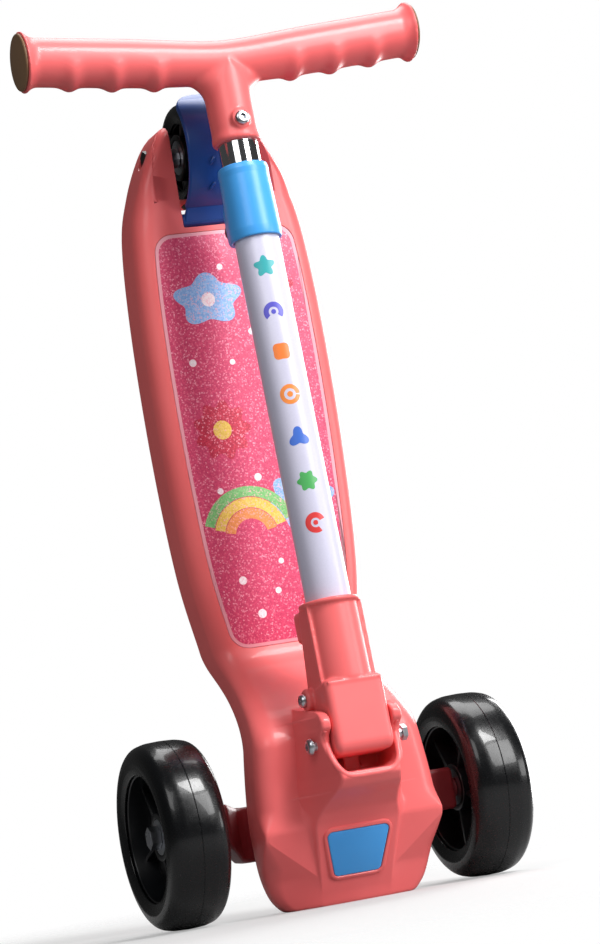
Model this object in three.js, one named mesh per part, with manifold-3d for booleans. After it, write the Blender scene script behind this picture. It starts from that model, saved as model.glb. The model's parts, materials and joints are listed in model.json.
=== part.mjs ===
// Three wheel kids scooter, folded: it stands on its two front wheels and on its nose,
// with the deck upright and the stem laid against the deck.
// Millimetres. X runs across the scooter, -Y is the side of the deck that is stood on, +Z is up.
// On the road the nose (z = 0 here) points forward and -Y points up.
import * as THREE from 'three';
import { mergeVertices } from 'three/addons/utils/BufferGeometryUtils.js';
import Module from 'manifold-3d';

const wasm = await Module();
wasm.setup();

// Clearances and facet counts
const gap = 0.3;
const runningGap = 0.6;
const overrun = 2;
const weld = 0.0001;
const wheelFacets = 32;
const pipeFacets = 20;
const boltFacets = 10;
const coilSteps = 6;
const wireSides = 4;
const hexFacets = 6;
const cornerSegments = 4;
const frontArcSteps = 5;
const backArcSteps = 2;
const stepRings = 6;

// Front wheels
const track = 198;
const wheelRadius = 57.5;
const wheelWidth = 40;
const rimRadius = 41.5;
const rimWall = 3.5;
const rimWidth = 32;
const tyreTuck = 20;
const tyreSquareness = 0.8;
const tyreSteps = 9;
const spokeCount = 5;
const bearingStop = 9.5;
const hubInner = 12;
const hubOuter = 9.3;
const barrelWall = 3.5;
const hubWeb = 3.5;
const hubRib = 2.6;

// Rear wheel
const rearRadius = 35;
const rearWidth = 36;
const rearRimRadius = 24;
const rearRimWall = 3;
const rearRimWidth = 28;

// Ball bearings and wheel bolts
const bearingRadius = 11;
const bearingBore = 4.2;
const bearingWidth = 7;
const boltRadius = 3.9;
const boltHeadRadius = 6.5;
const boltHeadHeight = 5;
const nutRadius = 7.2;
const nutHeight = 6;

// Deck and nose, moulded in one
const deckLength = 498;
const deckWidth = 121;
const deckThickness = 34;
const deckTop = 8;
const noseFront = -50;
const noseDepth = 46;
const stepFoot = 98;
const stepLength = 68;
const chinHeight = 48;
const chinSetback = 20;
const facetSetback = 19;
const facetAside = 0.5;
const facetDown = 1.04;
const wall = 3;
const ribWall = 2.4;
const ribPitch = 42;
const ribSetback = 3;
const deckEdgeRadius = 11;
const noseEdgeRadius = 22;
const underEdgeRadius = 6;
// Half widths along the deck: share of the length, then share of half the width
const deckOutlineShares = [
  [0, 0.6], [0.02, 0.76], [0.06, 0.9], [0.115, 0.95], [0.2, 0.885], [0.275, 0.77], [0.33, 0.82],
  [0.43, 0.94], [0.58, 1], [0.74, 1], [0.86, 0.94], [0.92, 0.81], [0.97, 0.62], [1, 0.44],
];

// Sheet laid in the top of the deck
const matFoot = 163;
const matMargin = 11.5;
const matRecess = 1.6;
const matThickness = 1.2;
const matCorner = 12;

// Wheel well and brake fender
const wellHalfWidth = 25;
const wellLength = 68;
const wellBevelWidth = 14;
const wellBevelDepth = 8;
const fenderHalfWidth = 22.5;
const fenderWall = 3;
const fenderGap = 3.8;
const fenderFootAngle = 65;
const fenderTailAngle = 60;
const fenderPinRadius = 2;
const fenderBarrelRadius = 4.6;
const fenderPinSink = 5;
const fenderSpringHalf = 6;
const fenderSteps = 8;
const rearBarrelHalf = 17;

// Head that carries the stem: ears, pocket and chin face
const pivotForward = 25;
const pivotHeight = 95;
const earHalfWidth = 28.5;
const pocketRadius = 22;
const latchTrackRadius = 25.5;
const latchTrackHalfWidth = 6.4;
const earRadius = 22;
const headFootHalfWidth = 22;
const headProud = 5;
const lipHalfWidth = 20.4;
const headRootHalfWidth = 33;

// Nose plate, a flat trapezium on the chin
const plateTopHalf = 20.5;
const plateFootHalf = 14.8;
const plateHeight = 30;
const plateThickness = 2.4;
const plateRecess = 1.6;
const plateBorder = 3;
const plateBorderHeight = 1.2;
const plateCorner = 3;

// Stem base and its knuckle
const knuckleHalfWidth = 18.6;
const knuckleFront = 16.5;
const knuckleRidge = 32;
const knuckleFoot = 9;
const knuckleBack = 14;
const socketRadius = 16.8;
const sideBack = 20;
const sideBackTop = 10;
const socketTop = 85;
const socketFlange = 19;
const flangeHeight = 4;
const tubeSeat = 38;
const foldBoltRadius = 3;
const foldBushRadius = 5.5;
const foldHeadRadius = 5;
const foldHeadHeight = 3;
const leverPinRadius = 2.4;
const leverPinBack = 12;
const leverPinHeight = 29;
const leverLugRadius = 5.6;
const leverLugProud = 4.6;
const stemLean = 4.57;

// Release lever
const leverHalfWidth = 5;
const leverPadHalfWidth = 13;
const leverThickness = 4;
const leverPadHeight = 16;
const leverPadReach = 14;
const leverSpringLength = 6;
const knuckleCorner = 5;

// Stem tubes, collar and height lock
const tubeRadius = 13.9;
const tubeWall = 1.1;
const innerTubeRadius = 12.5;
const innerTubeWall = 1.2;
const innerTubeFoot = 115;
const innerTubeTop = 410;
const holePitch = 30;
const holeCount = 7;
const holeRadius = 2.9;
const guideLength = 9;
const collarFoot = 312;
const collarTop = 359;
const collarFootRadius = 16.2;
const collarTopRadius = 15.2;
const collarLip = 4;
const lobeHalfWidth = 9;
const lobeBack = 28;
const lockHeight = 328;
const lockPinRadius = 2.3;
const plungerRadius = 3.6;
const lockKnobRadius = 7;
const lockKnobLength = 6.5;
const lobeWall = 2.2;
const plungerThickness = 2;
const springWire = 0.8;
const strongWire = 1;
const longSpringTurns = 4;
const shortSpringTurns = 3;

// Handlebar, one moulding
const barHeight = 427.5;
const barHalfLength = 127.5;
const barSides = 14;
const barRise = 10.5;
const barRootRadius = 13.8;
const barGripRadius = 15.1;
const barFlangeRadius = 19;
const barFlangeLength = 7;
const bumpHeight = 2.3;
const firstBumpShare = 0.2247;
const bumpPitchShare = 0.2136;
const bumpSpreadShare = 0.0356;
const bumpCount = 3;
const bumpShares = [-2, -1, 0, 1, 2];
const neckRadius = 14.8;
const neckFoot = 374;
const neckFillet = 15;
const neckWebHalf = 8;
const neckBossReach = 16.8;
const neckNutHeight = 3.2;
const barBore = 11.5;
const capRadius = 16;
const capThickness = 2.4;
const capPlug = 9;
const neckScrewHeight = 386;
const neckScrewRadius = 2.4;
const neckScrewHead = 4.6;
const neckBossRadius = 6.4;

// Steering bridge under the nose
const kingpinTilt = 28.3;
const kingpinHeight = 52;
const kingpinRadius = 3.9;
const sleeveRadius = 6.4;
const bushRadius = 13.4;
const bridgeHubRadius = 18.5;
const bridgeHubLength = 24;
const bridgeHubStart = 2;
const bridgeDepth = 17;
const bridgeHeight = 34;
const bridgeCentre = 50;
const bridgeArmInset = 16;
const armShoulder = 5;
const axleSpacerRadius = 6.4;
const bridgeWall = 3.4;
const bridgeClear = 6.6;
const armEndHeight = 26;
const armBossRadius = 11;

// Derived places
const deckBottom = deckTop + deckThickness;
const wellEnd = deckLength - wellLength;
const noseBack = noseFront + noseDepth;
const pivotY = noseFront - pivotForward;
const rearAxleY = wheelRadius - rearRadius;
const rearAxleZ = wellEnd + 2 * fenderBarrelRadius + fenderGap + rearRadius;
const tubeTop = collarTop - collarLip - gap;
const firstBump = firstBumpShare * barHalfLength;
const bumpPitch = bumpPitchShare * barHalfLength;
const bumpSpread = bumpSpreadShare * barHalfLength;
const leanAngle = THREE.MathUtils.degToRad(stemLean);

const at = (x, y, z) => new THREE.Matrix4().makeTranslation(x, y, z);
const rearAxleFrame = at(0, rearAxleY, rearAxleZ);
const capFrame = at(0, 0, barHeight + barRise);
const neckScrewFrame = at(0, 0, neckScrewHeight);
const lockFrame = at(0, 0, lockHeight);

// A closed geometry as a solid, its vertices merged and its faces pointing out.
function solidOf(geometry) {
  const bare = geometry.clone();
  bare.deleteAttribute('normal');
  bare.deleteAttribute('uv');
  const merged = mergeVertices(bare, weld);
  const position = merged.getAttribute('position');
  const index = [];
  let volume = 0;
  const a = new THREE.Vector3();
  const b = new THREE.Vector3();
  const c = new THREE.Vector3();
  for (let i = 0; i < merged.index.count; i += 3) {
    const face = [0, 1, 2].map((k) => merged.index.getX(i + k));
    if (new Set(face).size < 3) continue;
    a.fromBufferAttribute(position, face[0]);
    b.fromBufferAttribute(position, face[1]);
    c.fromBufferAttribute(position, face[2]);
    volume += a.dot(b.cross(c));
    index.push(...face);
  }
  if (volume < 0) index.reverse();
  const vertProperties = new Float32Array(position.array);
  return new wasm.Manifold(new wasm.Mesh({ numProp: 3, vertProperties, triVerts: new Uint32Array(index) }));
}

function geometryOf(solid) {
  const { vertProperties, triVerts } = solid.getMesh();
  const geometry = new THREE.BufferGeometry();
  geometry.setAttribute('position', new THREE.BufferAttribute(vertProperties, 3));
  geometry.setIndex(new THREE.BufferAttribute(triVerts, 1));
  geometry.computeVertexNormals();
  return geometry;
}

function addPiece(parent, name, solid, finish) {
  const mesh = new THREE.Mesh(geometryOf(solid), new THREE.MeshStandardMaterial(finish));
  mesh.name = name;
  parent.add(mesh);
  return mesh;
}

function addGroup(parent, x, y, z) {
  const group = new THREE.Group();
  group.position.set(x, y, z);
  parent.add(group);
  return group;
}

const joined = (solids) => solids.reduce((sum, next) => sum.add(next));
const cutBy = (solid, cutters) => solid.subtract(joined(cutters));

// Extrusions: a shape drawn in (Y, Z) runs along X, one in (X, Z) along Y, one in (X, Y) along Z.
// A frame, where one is given, places the finished solid.
const identity = new THREE.Matrix4();
const extrusion = (shape, depth) =>
  new THREE.ExtrudeGeometry(shape, { depth, bevelEnabled: false, curveSegments: cornerSegments });

function alongX(shape, from, to, frame = identity) {
  const geometry = extrusion(shape, to - from);
  geometry.translate(0, 0, from);
  const basis = new THREE.Matrix4().makeBasis(
    new THREE.Vector3(0, 1, 0), new THREE.Vector3(0, 0, 1), new THREE.Vector3(1, 0, 0));
  return solidOf(geometry.applyMatrix4(basis).applyMatrix4(frame));
}

function alongY(shape, from, to, frame = identity) {
  const geometry = extrusion(shape, to - from);
  geometry.translate(0, 0, -to);
  const basis = new THREE.Matrix4().makeBasis(
    new THREE.Vector3(1, 0, 0), new THREE.Vector3(0, 0, 1), new THREE.Vector3(0, -1, 0));
  return solidOf(geometry.applyMatrix4(basis).applyMatrix4(frame));
}

function alongZ(shape, from, to) {
  return solidOf(extrusion(shape, to - from).translate(0, 0, from));
}

// Turned solids: profile points are [distance along the axis, radius].
function turned(axis, profile, facets, frame = identity) {
  const points = profile.map(([along, radius]) => new THREE.Vector2(radius, along));
  const geometry = new THREE.LatheGeometry(points, facets);
  if (axis === 'x') geometry.rotateZ(-Math.PI / 2);
  if (axis === 'z') geometry.rotateX(Math.PI / 2);
  return solidOf(geometry.applyMatrix4(frame));
}

const rodProfile = (radius, from, to) => [[from, 0], [from, radius], [to, radius], [to, 0]];
const pipeProfile = (inner, outer, from, to) =>
  [[from, inner], [from, outer], [to, outer], [to, inner], [from, inner]];

function block(x0, x1, y0, y1, z0, z1, frame = identity) {
  const geometry = new THREE.BoxGeometry(x1 - x0, y1 - y0, z1 - z0);
  geometry.translate((x0 + x1) / 2, (y0 + y1) / 2, (z0 + z1) / 2);
  return solidOf(geometry.applyMatrix4(frame));
}

// A bolt: its hexagonal head ends at seat and its shaft runs on to tip.
function bolt(axis, headRadius, headHeight, radius, seat, tip, frame = identity) {
  const head = seat - Math.sign(tip - seat) * headHeight;
  return turned(axis, rodProfile(headRadius, head, seat), hexFacets, frame)
    .add(turned(axis, rodProfile(radius, (head + seat) / 2, tip), boltFacets, frame));
}

function nut(axis, radius, bore, from, to, frame = identity) {
  return turned(axis, rodProfile(radius, from, to), hexFacets, frame)
    .subtract(turned(axis, rodProfile(bore, Math.min(from, to) - overrun, Math.max(from, to) + overrun),
      boltFacets, frame));
}

function polygon(points) {
  return new THREE.Shape(points.map(([u, v]) => new THREE.Vector2(u, v)));
}

// A polygon whose corners are rounded by one radius.
function roundedPolygon(points, radius) {
  const shape = new THREE.Shape();
  const corners = points.map(([u, v]) => new THREE.Vector2(u, v));
  corners.forEach((corner, i) => {
    const before = corners[(i + corners.length - 1) % corners.length];
    const after = corners[(i + 1) % corners.length];
    const start = before.clone().sub(corner);
    const end = after.clone().sub(corner);
    start.setLength(Math.min(radius, start.length() / 2)).add(corner);
    end.setLength(Math.min(radius, end.length() / 2)).add(corner);
    if (i === 0) shape.moveTo(start.x, start.y);
    else shape.lineTo(start.x, start.y);
    shape.quadraticCurveTo(corner.x, corner.y, end.x, end.y);
  });
  shape.closePath();
  return shape;
}

// A skin over rings with equal point counts, closed by a fan at each end.
function loft(rings) {
  const count = rings[0].length;
  const vertices = rings.flat();
  const index = [];
  rings.slice(1).forEach((ring, i) => {
    for (let j = 0; j < count; j += 1) {
      const next = (j + 1) % count;
      const low = i * count;
      const high = (i + 1) * count;
      index.push(low + j, low + next, high + next, low + j, high + next, high + j);
    }
  });
  [[0, true], [rings.length - 1, false]].forEach(([i, flipped]) => {
    const centre = new THREE.Vector3();
    rings[i].forEach((point) => centre.add(point));
    vertices.push(centre.divideScalar(count));
    for (let j = 0; j < count; j += 1) {
      const edge = [i * count + j, i * count + ((j + 1) % count)];
      if (flipped) edge.reverse();
      index.push(...edge, vertices.length - 1);
    }
  });
  const geometry = new THREE.BufferGeometry().setFromPoints(vertices);
  geometry.setIndex(index);
  return solidOf(geometry);
}

function smoothStep(from, to, value) {
  const t = THREE.MathUtils.clamp((value - from) / (to - from), 0, 1);
  return t * t * (3 - 2 * t);
}

// A coil of wire round an axis along X; each leg runs from an end of the coil to one more point.
function coilSpring(radius, wire, from, to, turns, legStart, legEnd) {
  const steps = turns * coilSteps;
  const points = Array.from({ length: steps + 1 }, (_, i) => {
    const angle = (i / coilSteps) * 2 * Math.PI;
    const x = from + (i / steps) * (to - from);
    return new THREE.Vector3(x, radius * Math.cos(angle), radius * Math.sin(angle));
  });
  const leg = (places) => places.map(([x, y, z]) => new THREE.Vector3(x, y, z));
  return wireAlong([...leg(legStart), ...points, ...leg(legEnd)], wire, wireSides);
}

// A round wire through points, with a section square to its run at each point.
function wireAlong(points, wire, sides) {
  const rings = points.map((point, i) => {
    const before = points[Math.max(i - 1, 0)];
    const after = points[Math.min(i + 1, points.length - 1)];
    const run = after.clone().sub(before).normalize();
    const aside = new THREE.Vector3(1, 0, 0).cross(run);
    if (aside.lengthSq() < weld) aside.set(0, 1, 0);
    aside.normalize();
    const up = run.clone().cross(aside);
    return Array.from({ length: sides }, (_, k) => {
      const angle = (k / sides) * 2 * Math.PI;
      return point.clone()
        .addScaledVector(aside, (wire / 2) * Math.cos(angle))
        .addScaledVector(up, (wire / 2) * Math.sin(angle));
    });
  });
  return loft(rings);
}

// The deck moulding: its half width comes from a smooth line through the outline points.
const outline = new THREE.SplineCurve(deckOutlineShares.map(([along, across]) =>
  new THREE.Vector2(along * deckLength, (across * deckWidth) / 2)));
const outlinePoints = outline.getPoints(2 * (deckOutlineShares.length - 1));
const kingpinAngle = THREE.MathUtils.degToRad(kingpinTilt);

function halfWidthAt(z) {
  const above = outlinePoints.findIndex((point) => point.x >= z);
  if (above <= 0) return outlinePoints[above < 0 ? outlinePoints.length - 1 : 0].y;
  const [low, high] = [outlinePoints[above - 1], outlinePoints[above]];
  return low.y + ((high.y - low.y) * (z - low.x)) / (high.x - low.x);
}

function deckFrontAt(z) {
  const chin = chinSetback * Math.max(0, 1 - z / chinHeight);
  return noseFront + chin + (deckTop - noseFront) * smoothStep(stepFoot, stepFoot + stepLength, z);
}

function deckBackAt(z) {
  return noseBack + (deckBottom - noseBack) * smoothStep(stepFoot, stepFoot + stepLength, z);
}

// One cross section of the moulding, pulled in by inset, with its back face moved by backShift.
function deckSection(z, inset, backShift, backRadius) {
  const half = halfWidthAt(z) - inset;
  const front = deckFrontAt(z) + inset;
  const back = deckBackAt(z) + backShift;
  const step = smoothStep(stepFoot, stepFoot + stepLength, z);
  const wanted = noseEdgeRadius + (deckEdgeRadius - noseEdgeRadius) * step - inset;
  const frontRadius = Math.min(wanted, half, back - front - backRadius);
  const corners = [
    [-half + frontRadius, front + frontRadius, frontRadius, Math.PI, frontArcSteps],
    [half - frontRadius, front + frontRadius, frontRadius, (3 * Math.PI) / 2, frontArcSteps],
    [half - backRadius, back - backRadius, backRadius, 0, backArcSteps],
    [-half + backRadius, back - backRadius, backRadius, Math.PI / 2, backArcSteps],
  ];
  return corners.flatMap(([x, y, radius, start, steps]) =>
    Array.from({ length: steps }, (_, i) => {
      const angle = start + ((i / (steps - 1)) * Math.PI) / 2;
      return new THREE.Vector3(x + radius * Math.cos(angle), y + radius * Math.sin(angle), z);
    }));
}

const nearStep = (z) => z > stepFoot - overrun && z < stepFoot + stepLength + overrun;
const deckLevels = [
  ...outlinePoints.map((point) => point.x).filter((z) => !nearStep(z)),
  ...Array.from({ length: stepRings + 1 }, (_, i) => stepFoot + (i / stepRings) * stepLength),
].sort((a, b) => a - b);

function deckBody(inset, endInset, backShift, backRadius) {
  const low = endInset;
  const high = deckLength - endInset;
  const middle = deckLevels.filter((z) => z > low + gap && z < high - gap);
  return loft([low, ...middle, high].map((z) => deckSection(z, inset, backShift, backRadius)));
}

// Places on the chin: the plate's middle, and lengths along the kingpin measured from its centre.
const chinFaceAt = (z) => noseFront - headProud + (chinHeight - z) * Math.tan(kingpinAngle);
const plateMiddle = chinHeight - plateHeight / 2 - plateBorder + gap;
const kingpinFrame = at(0, 0, kingpinHeight)
  .multiply(new THREE.Matrix4().makeRotationX(kingpinAngle));
const chinFrame = at(0, chinFaceAt(plateMiddle), plateMiddle)
  .multiply(new THREE.Matrix4().makeRotationX(kingpinAngle));
const chinAlongKingpin = chinFaceAt(plateMiddle) * Math.cos(kingpinAngle)
  + (plateMiddle - kingpinHeight) * Math.sin(kingpinAngle);

const kingpinHeadSeat = chinAlongKingpin + plateRecess + plateThickness + boltHeadHeight + gap;

function plateShape(grow) {
  return roundedPolygon([
    [-plateFootHalf - grow, -plateHeight / 2 - grow], [plateFootHalf + grow, -plateHeight / 2 - grow],
    [plateTopHalf + grow, plateHeight / 2 + grow], [-plateTopHalf - grow, plateHeight / 2 + grow],
  ], plateCorner + Math.max(grow, 0));
}

// The head's side view, seen from the stem's pivot in shares of the ear's radius.
const headRimShares = [
  [-0.3, -1.36], [-0.68, -1.18], [-0.8, -0.95], [-0.73, -0.68], [-0.55, -0.36], [-0.38, 0.05],
  [-0.45, 0.27], [-0.68, 0.41], [-0.7, 0.64], [-0.45, 0.91], [0, 1], [0.82, 1],
];

function headShape() {
  const rim = headRimShares.map(([y, z]) => [pivotY + y * earRadius, pivotHeight + z * earRadius]);
  const floorBack = pivotY + latchTrackRadius + wall;
  const chinWall = wall + plateRecess;
  return roundedPolygon([
    [deckFrontAt(0) + wall / 2, wall / 2],
    [chinFaceAt(chinHeight / 4), chinHeight / 4],
    [chinFaceAt(chinHeight), chinHeight],
    [pivotY + (pivotForward - headProud) / 2, chinHeight + headProud * 2],
    ...rim,
    [floorBack, pivotHeight + earRadius / 2],
    [floorBack, pivotHeight - earRadius],
    [chinFaceAt(chinHeight) + chinWall, chinHeight],
    [chinFaceAt(0) + chinWall, wall / 2],
  ], wall);
}

function stemHead() {
  const side = alongX(headShape(), -earHalfWidth, earHalfWidth);
  const front = alongY(polygon([
    [-headFootHalfWidth, 0], [headFootHalfWidth, 0], [earHalfWidth, chinHeight],
    [earHalfWidth, deckLength], [-earHalfWidth, deckLength], [-earHalfWidth, chinHeight],
  ]), pivotY - deckWidth, deckBottom);
  const boss = turned('y', [
    [chinAlongKingpin + plateThickness, 0], [chinAlongKingpin + plateThickness, bridgeHubRadius - wall * 2],
    [bridgeHubStart - runningGap, bridgeHubRadius - wall * 2], [bridgeHubStart - runningGap, 0],
  ], pipeFacets, kingpinFrame);
  const border = alongY(plateShape(plateBorder), -plateBorderHeight, wall, chinFrame);
  return joined([cutBy(side.intersect(front), headTapers()), boss, border]);
}

// Two pockets behind the head, on both sides of a middle web, that keep its walls even.
function headHollow() {
  const low = chinHeight + wall;
  const back = noseFront + wall + overrun;
  const side = alongX(polygon([
    [back, low], [chinFaceAt(chinHeight), low], [pivotY + earRadius / 2, chinHeight + pocketRadius / 2],
    [pivotY + earRadius / 2, pivotHeight - earRadius], [back, pivotHeight - earRadius / 2],
  ]), wall - earHalfWidth, earHalfWidth - wall);
  return cutBy(side, [
    turned('x', rodProfile(latchTrackRadius + wall, -earHalfWidth, earHalfWidth), wheelFacets,
      at(0, pivotY, pivotHeight)),
    block(-ribWall / 2, ribWall / 2, pivotY, deckBottom, 0, pivotHeight),
  ]);
}

function headCuts() {
  const half = knuckleHalfWidth + runningGap;
  const front = pivotY - deckWidth / 2;
  const lipTop = pivotHeight - knuckleFront - 2 * runningGap;
  const pivotAt = at(0, pivotY, pivotHeight);
  return [
    turned('x', rodProfile(pocketRadius, -half, half), wheelFacets, pivotAt),
    turned('x', rodProfile(latchTrackRadius, -latchTrackHalfWidth, latchTrackHalfWidth), wheelFacets,
      pivotAt),
    block(-half, half, front, pivotY, lipTop, pivotHeight + pocketRadius * 2),
    block(-half, half, front, pivotY + pocketRadius, pivotHeight, pivotHeight + pocketRadius * 2),
    turned('x', rodProfile(foldBoltRadius + gap, -deckWidth, deckWidth), boltFacets, pivotAt),
    alongY(plateShape(gap), -plateBorderHeight - overrun, plateRecess, chinFrame),
    headHollow(),
    turned('y', rodProfile(kingpinRadius + gap, chinAlongKingpin, bridgeHubStart), boltFacets, kingpinFrame),
    turned('y', rodProfile(nutRadius + gap, chinAlongKingpin - overrun, kingpinHeadSeat), pipeFacets,
      kingpinFrame),
  ];
}

// A large block whose near face passes through a point, square to a direction.
function halfSpace(point, direction) {
  const out = direction.clone().normalize();
  const aside = new THREE.Vector3(0, 0, 1).cross(out).normalize();
  const up = out.clone().cross(aside);
  return block(0, deckLength, -deckLength, deckLength, -deckLength, deckLength,
    new THREE.Matrix4().makeBasis(out, aside, up).setPosition(point));
}

// The head tapers towards the pocket's lip: on each side one plane runs from the ear over the lip's
// corner to the head's root.
function headTapers() {
  const rimPoint = (i, half) => new THREE.Vector3(half, pivotY + headRimShares[i][0] * earRadius,
    pivotHeight + headRimShares[i][1] * earRadius);
  const plane = new THREE.Plane().setFromCoplanarPoints(rimPoint(5, earHalfWidth),
    rimPoint(2, lipHalfWidth), new THREE.Vector3(headRootHalfWidth, noseFront, pivotHeight - earRadius));
  const out = plane.normal.multiplyScalar(Math.sign(plane.normal.x));
  const corner = rimPoint(5, earHalfWidth);
  return [-1, 1].map((side) => halfSpace(new THREE.Vector3(side * corner.x, corner.y, corner.z),
    new THREE.Vector3(side * out.x, out.y, out.z)));
}

// The nose's lower corners: one flat facet on each side, drawn in by inset.
function noseFacets(inset) {
  return [-1, 1].map((side) => {
    const out = new THREE.Vector3(side * facetAside, -1, -facetDown).normalize();
    return halfSpace(new THREE.Vector3(0, noseFront + facetSetback, 0).addScaledVector(out, -inset), out);
  });
}

function matShape(grow) {
  const foot = matFoot - grow;
  const head = wellEnd - wall - gap * 2 + grow;
  const margin = matMargin - grow;
  const levels = deckLevels.filter((z) => z > foot + matCorner && z < head - matCorner);
  const side = [foot + matCorner, ...levels, head - matCorner].map((z) => [halfWidthAt(z) - margin, z]);
  const footHalf = halfWidthAt(foot) - margin;
  const headHalf = halfWidthAt(head) - margin;
  const shape = new THREE.Shape();
  shape.moveTo(-footHalf + matCorner, foot);
  shape.lineTo(footHalf - matCorner, foot);
  shape.quadraticCurveTo(footHalf, foot, side[0][0], side[0][1]);
  side.slice(1).forEach(([x, z]) => shape.lineTo(x, z));
  shape.quadraticCurveTo(headHalf, head, headHalf - matCorner, head);
  shape.lineTo(-headHalf + matCorner, head);
  shape.quadraticCurveTo(-headHalf, head, -side[side.length - 1][0], side[side.length - 1][1]);
  side.slice(0, -1).reverse().forEach(([x, z]) => shape.lineTo(-x, z));
  shape.quadraticCurveTo(-footHalf, foot, -footHalf + matCorner, foot);
  return shape;
}

const fenderPinY = deckTop + fenderPinSink;
const fenderPinZ = wellEnd + fenderBarrelRadius + runningGap;
const fenderPinHalf = wellHalfWidth + fenderBarrelRadius * 2;
const prongFace = halfWidthAt(rearAxleZ) - nutHeight;

const fenderPinFrame = at(0, fenderPinY, fenderPinZ);

function deckKeepers() {
  return [
    block(-wellHalfWidth - wall, wellHalfWidth + wall, deckTop, deckBottom, wellEnd - wall, deckLength),
    block(-fenderPinHalf - wall, fenderPinHalf + wall, deckTop, fenderPinY + fenderBarrelRadius + wall,
      fenderPinZ - fenderBarrelRadius - wall, fenderPinZ + fenderBarrelRadius + wall),
    block(-deckWidth / 2, deckWidth / 2, deckTop, rearAxleY + nutRadius * 2, rearAxleZ - nutRadius * 2,
      deckLength),
    block(-earHalfWidth, earHalfWidth, noseFront, pivotY + latchTrackRadius + wall,
      pivotHeight - earRadius, pivotHeight + earRadius),
  ];
}

function deckRibs() {
  const ribs = [-1, 0, 1].map((side) => {
    const x = side * ribPitch * 2 / 3;
    return block(x - ribWall / 2, x + ribWall / 2, noseFront, deckBottom, 0, deckLength);
  });
  for (let z = ribPitch / 2; z < deckLength; z += ribPitch) {
    ribs.push(block(-deckWidth / 2, deckWidth / 2, noseFront, deckBottom, z - ribWall / 2, z + ribWall / 2));
  }
  return joined(ribs).intersect(deckBody(wall / 2, wall / 2, -ribSetback, gap));
}

function deckCuts() {
  const bevelled = alongZ(polygon([
    [-wellHalfWidth - wellBevelWidth, deckTop - overrun],
    [wellHalfWidth + wellBevelWidth, deckTop - overrun], [wellHalfWidth + wellBevelWidth, deckTop],
    [wellHalfWidth, deckTop + wellBevelDepth], [-wellHalfWidth, deckTop + wellBevelDepth],
    [-wellHalfWidth - wellBevelWidth, deckTop],
  ]), wellEnd + fenderBarrelRadius * 4, deckLength + overrun);
  return [
    block(-wellHalfWidth, wellHalfWidth, noseFront, deckBottom + overrun, wellEnd, deckLength + overrun),
    bevelled,
    alongY(matShape(gap), deckTop - overrun, deckTop + matRecess),
    turned('x', rodProfile(fenderPinRadius + gap, -fenderPinHalf, fenderPinHalf), boltFacets,
      fenderPinFrame),
    turned('x', rodProfile(boltRadius + gap, -deckWidth, deckWidth), boltFacets, rearAxleFrame),
    turned('x', rodProfile(nutRadius + 2 * gap, prongFace, deckWidth), pipeFacets, rearAxleFrame),
    turned('x', rodProfile(nutRadius + 2 * gap, -deckWidth, -prongFace), pipeFacets, rearAxleFrame),
    turned('y', rodProfile(bridgeHubRadius + 2 * runningGap, bridgeHubStart - runningGap, deckWidth),
      pipeFacets, kingpinFrame),
  ];
}

function makeDeck() {
  const cavity = cutBy(deckBody(wall, wall, overrun, gap), [...deckKeepers(), ...noseFacets(wall)]);
  const shell = deckBody(0, 0, 0, underEdgeRadius).subtract(cavity);
  const whole = joined([cutBy(shell.add(deckRibs()), noseFacets(0)), stemHead()]);
  return cutBy(whole, [...headCuts(), ...deckCuts()]);
}

// Wheels: every one is a moulded hub with a tyre over it and two ball bearings in its barrel.
function tyreSolid(radius, width, rimOuter, rimAcross, facets) {
  const crown = rimOuter + (radius - rimOuter) / 4;
  const tuck = THREE.MathUtils.degToRad(tyreTuck);
  const curved = (value) => Math.sign(value) * Math.abs(value) ** tyreSquareness;
  const section = Array.from({ length: tyreSteps + 1 }, (_, i) => {
    const angle = (i / tyreSteps) * (Math.PI + 2 * tuck) - tuck;
    return [(-width / 2) * curved(Math.cos(angle)), crown + (radius - crown) * curved(Math.sin(angle))];
  });
  const lip = section[0][1];
  const seat = rimAcross / 2 + gap;
  return turned('x', [
    ...section, [seat, lip], [seat, rimOuter + gap], [-seat, rimOuter + gap], [-seat, lip], section[0],
  ], facets);
}

function hubSolid(rimOuter, rimThickness, rimAcross, barrelFrom, barrelTo, facets) {
  const barrelOuter = bearingRadius + gap + barrelWall;
  const stopFrom = barrelFrom + bearingWidth + 2 * gap;
  const stopTo = barrelTo - bearingWidth - 2 * gap;
  const half = hubRib / 2;
  const ribs = Array.from({ length: spokeCount }, (_, i) => block(barrelFrom, barrelTo, -half, half,
    barrelOuter - half, rimOuter - rimThickness / 2,
    new THREE.Matrix4().makeRotationX(((i + 1 / 2) / spokeCount) * 2 * Math.PI)));
  return joined([
    turned('x', pipeProfile(bearingRadius + gap, barrelOuter, barrelFrom, barrelTo), pipeFacets),
    turned('x', pipeProfile(bearingStop, barrelOuter - half, stopFrom, stopTo), pipeFacets),
    turned('x', pipeProfile(barrelOuter - half, rimOuter - half, -hubWeb / 2, hubWeb / 2), pipeFacets),
    turned('x', pipeProfile(rimOuter - rimThickness, rimOuter, -rimAcross / 2, rimAcross / 2), facets),
    ...ribs,
  ]);
}

function addBearings(parent, name, barrelFrom, barrelTo) {
  const starts = [barrelFrom + gap, barrelTo - gap - bearingWidth];
  starts.forEach((start, i) => {
    const ring = pipeProfile(bearingBore, bearingRadius, start, start + bearingWidth);
    addPiece(parent, `bearing_${name}_${'ab'[i]}`, turned('x', ring, pipeFacets), steel);
  });
}

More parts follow.
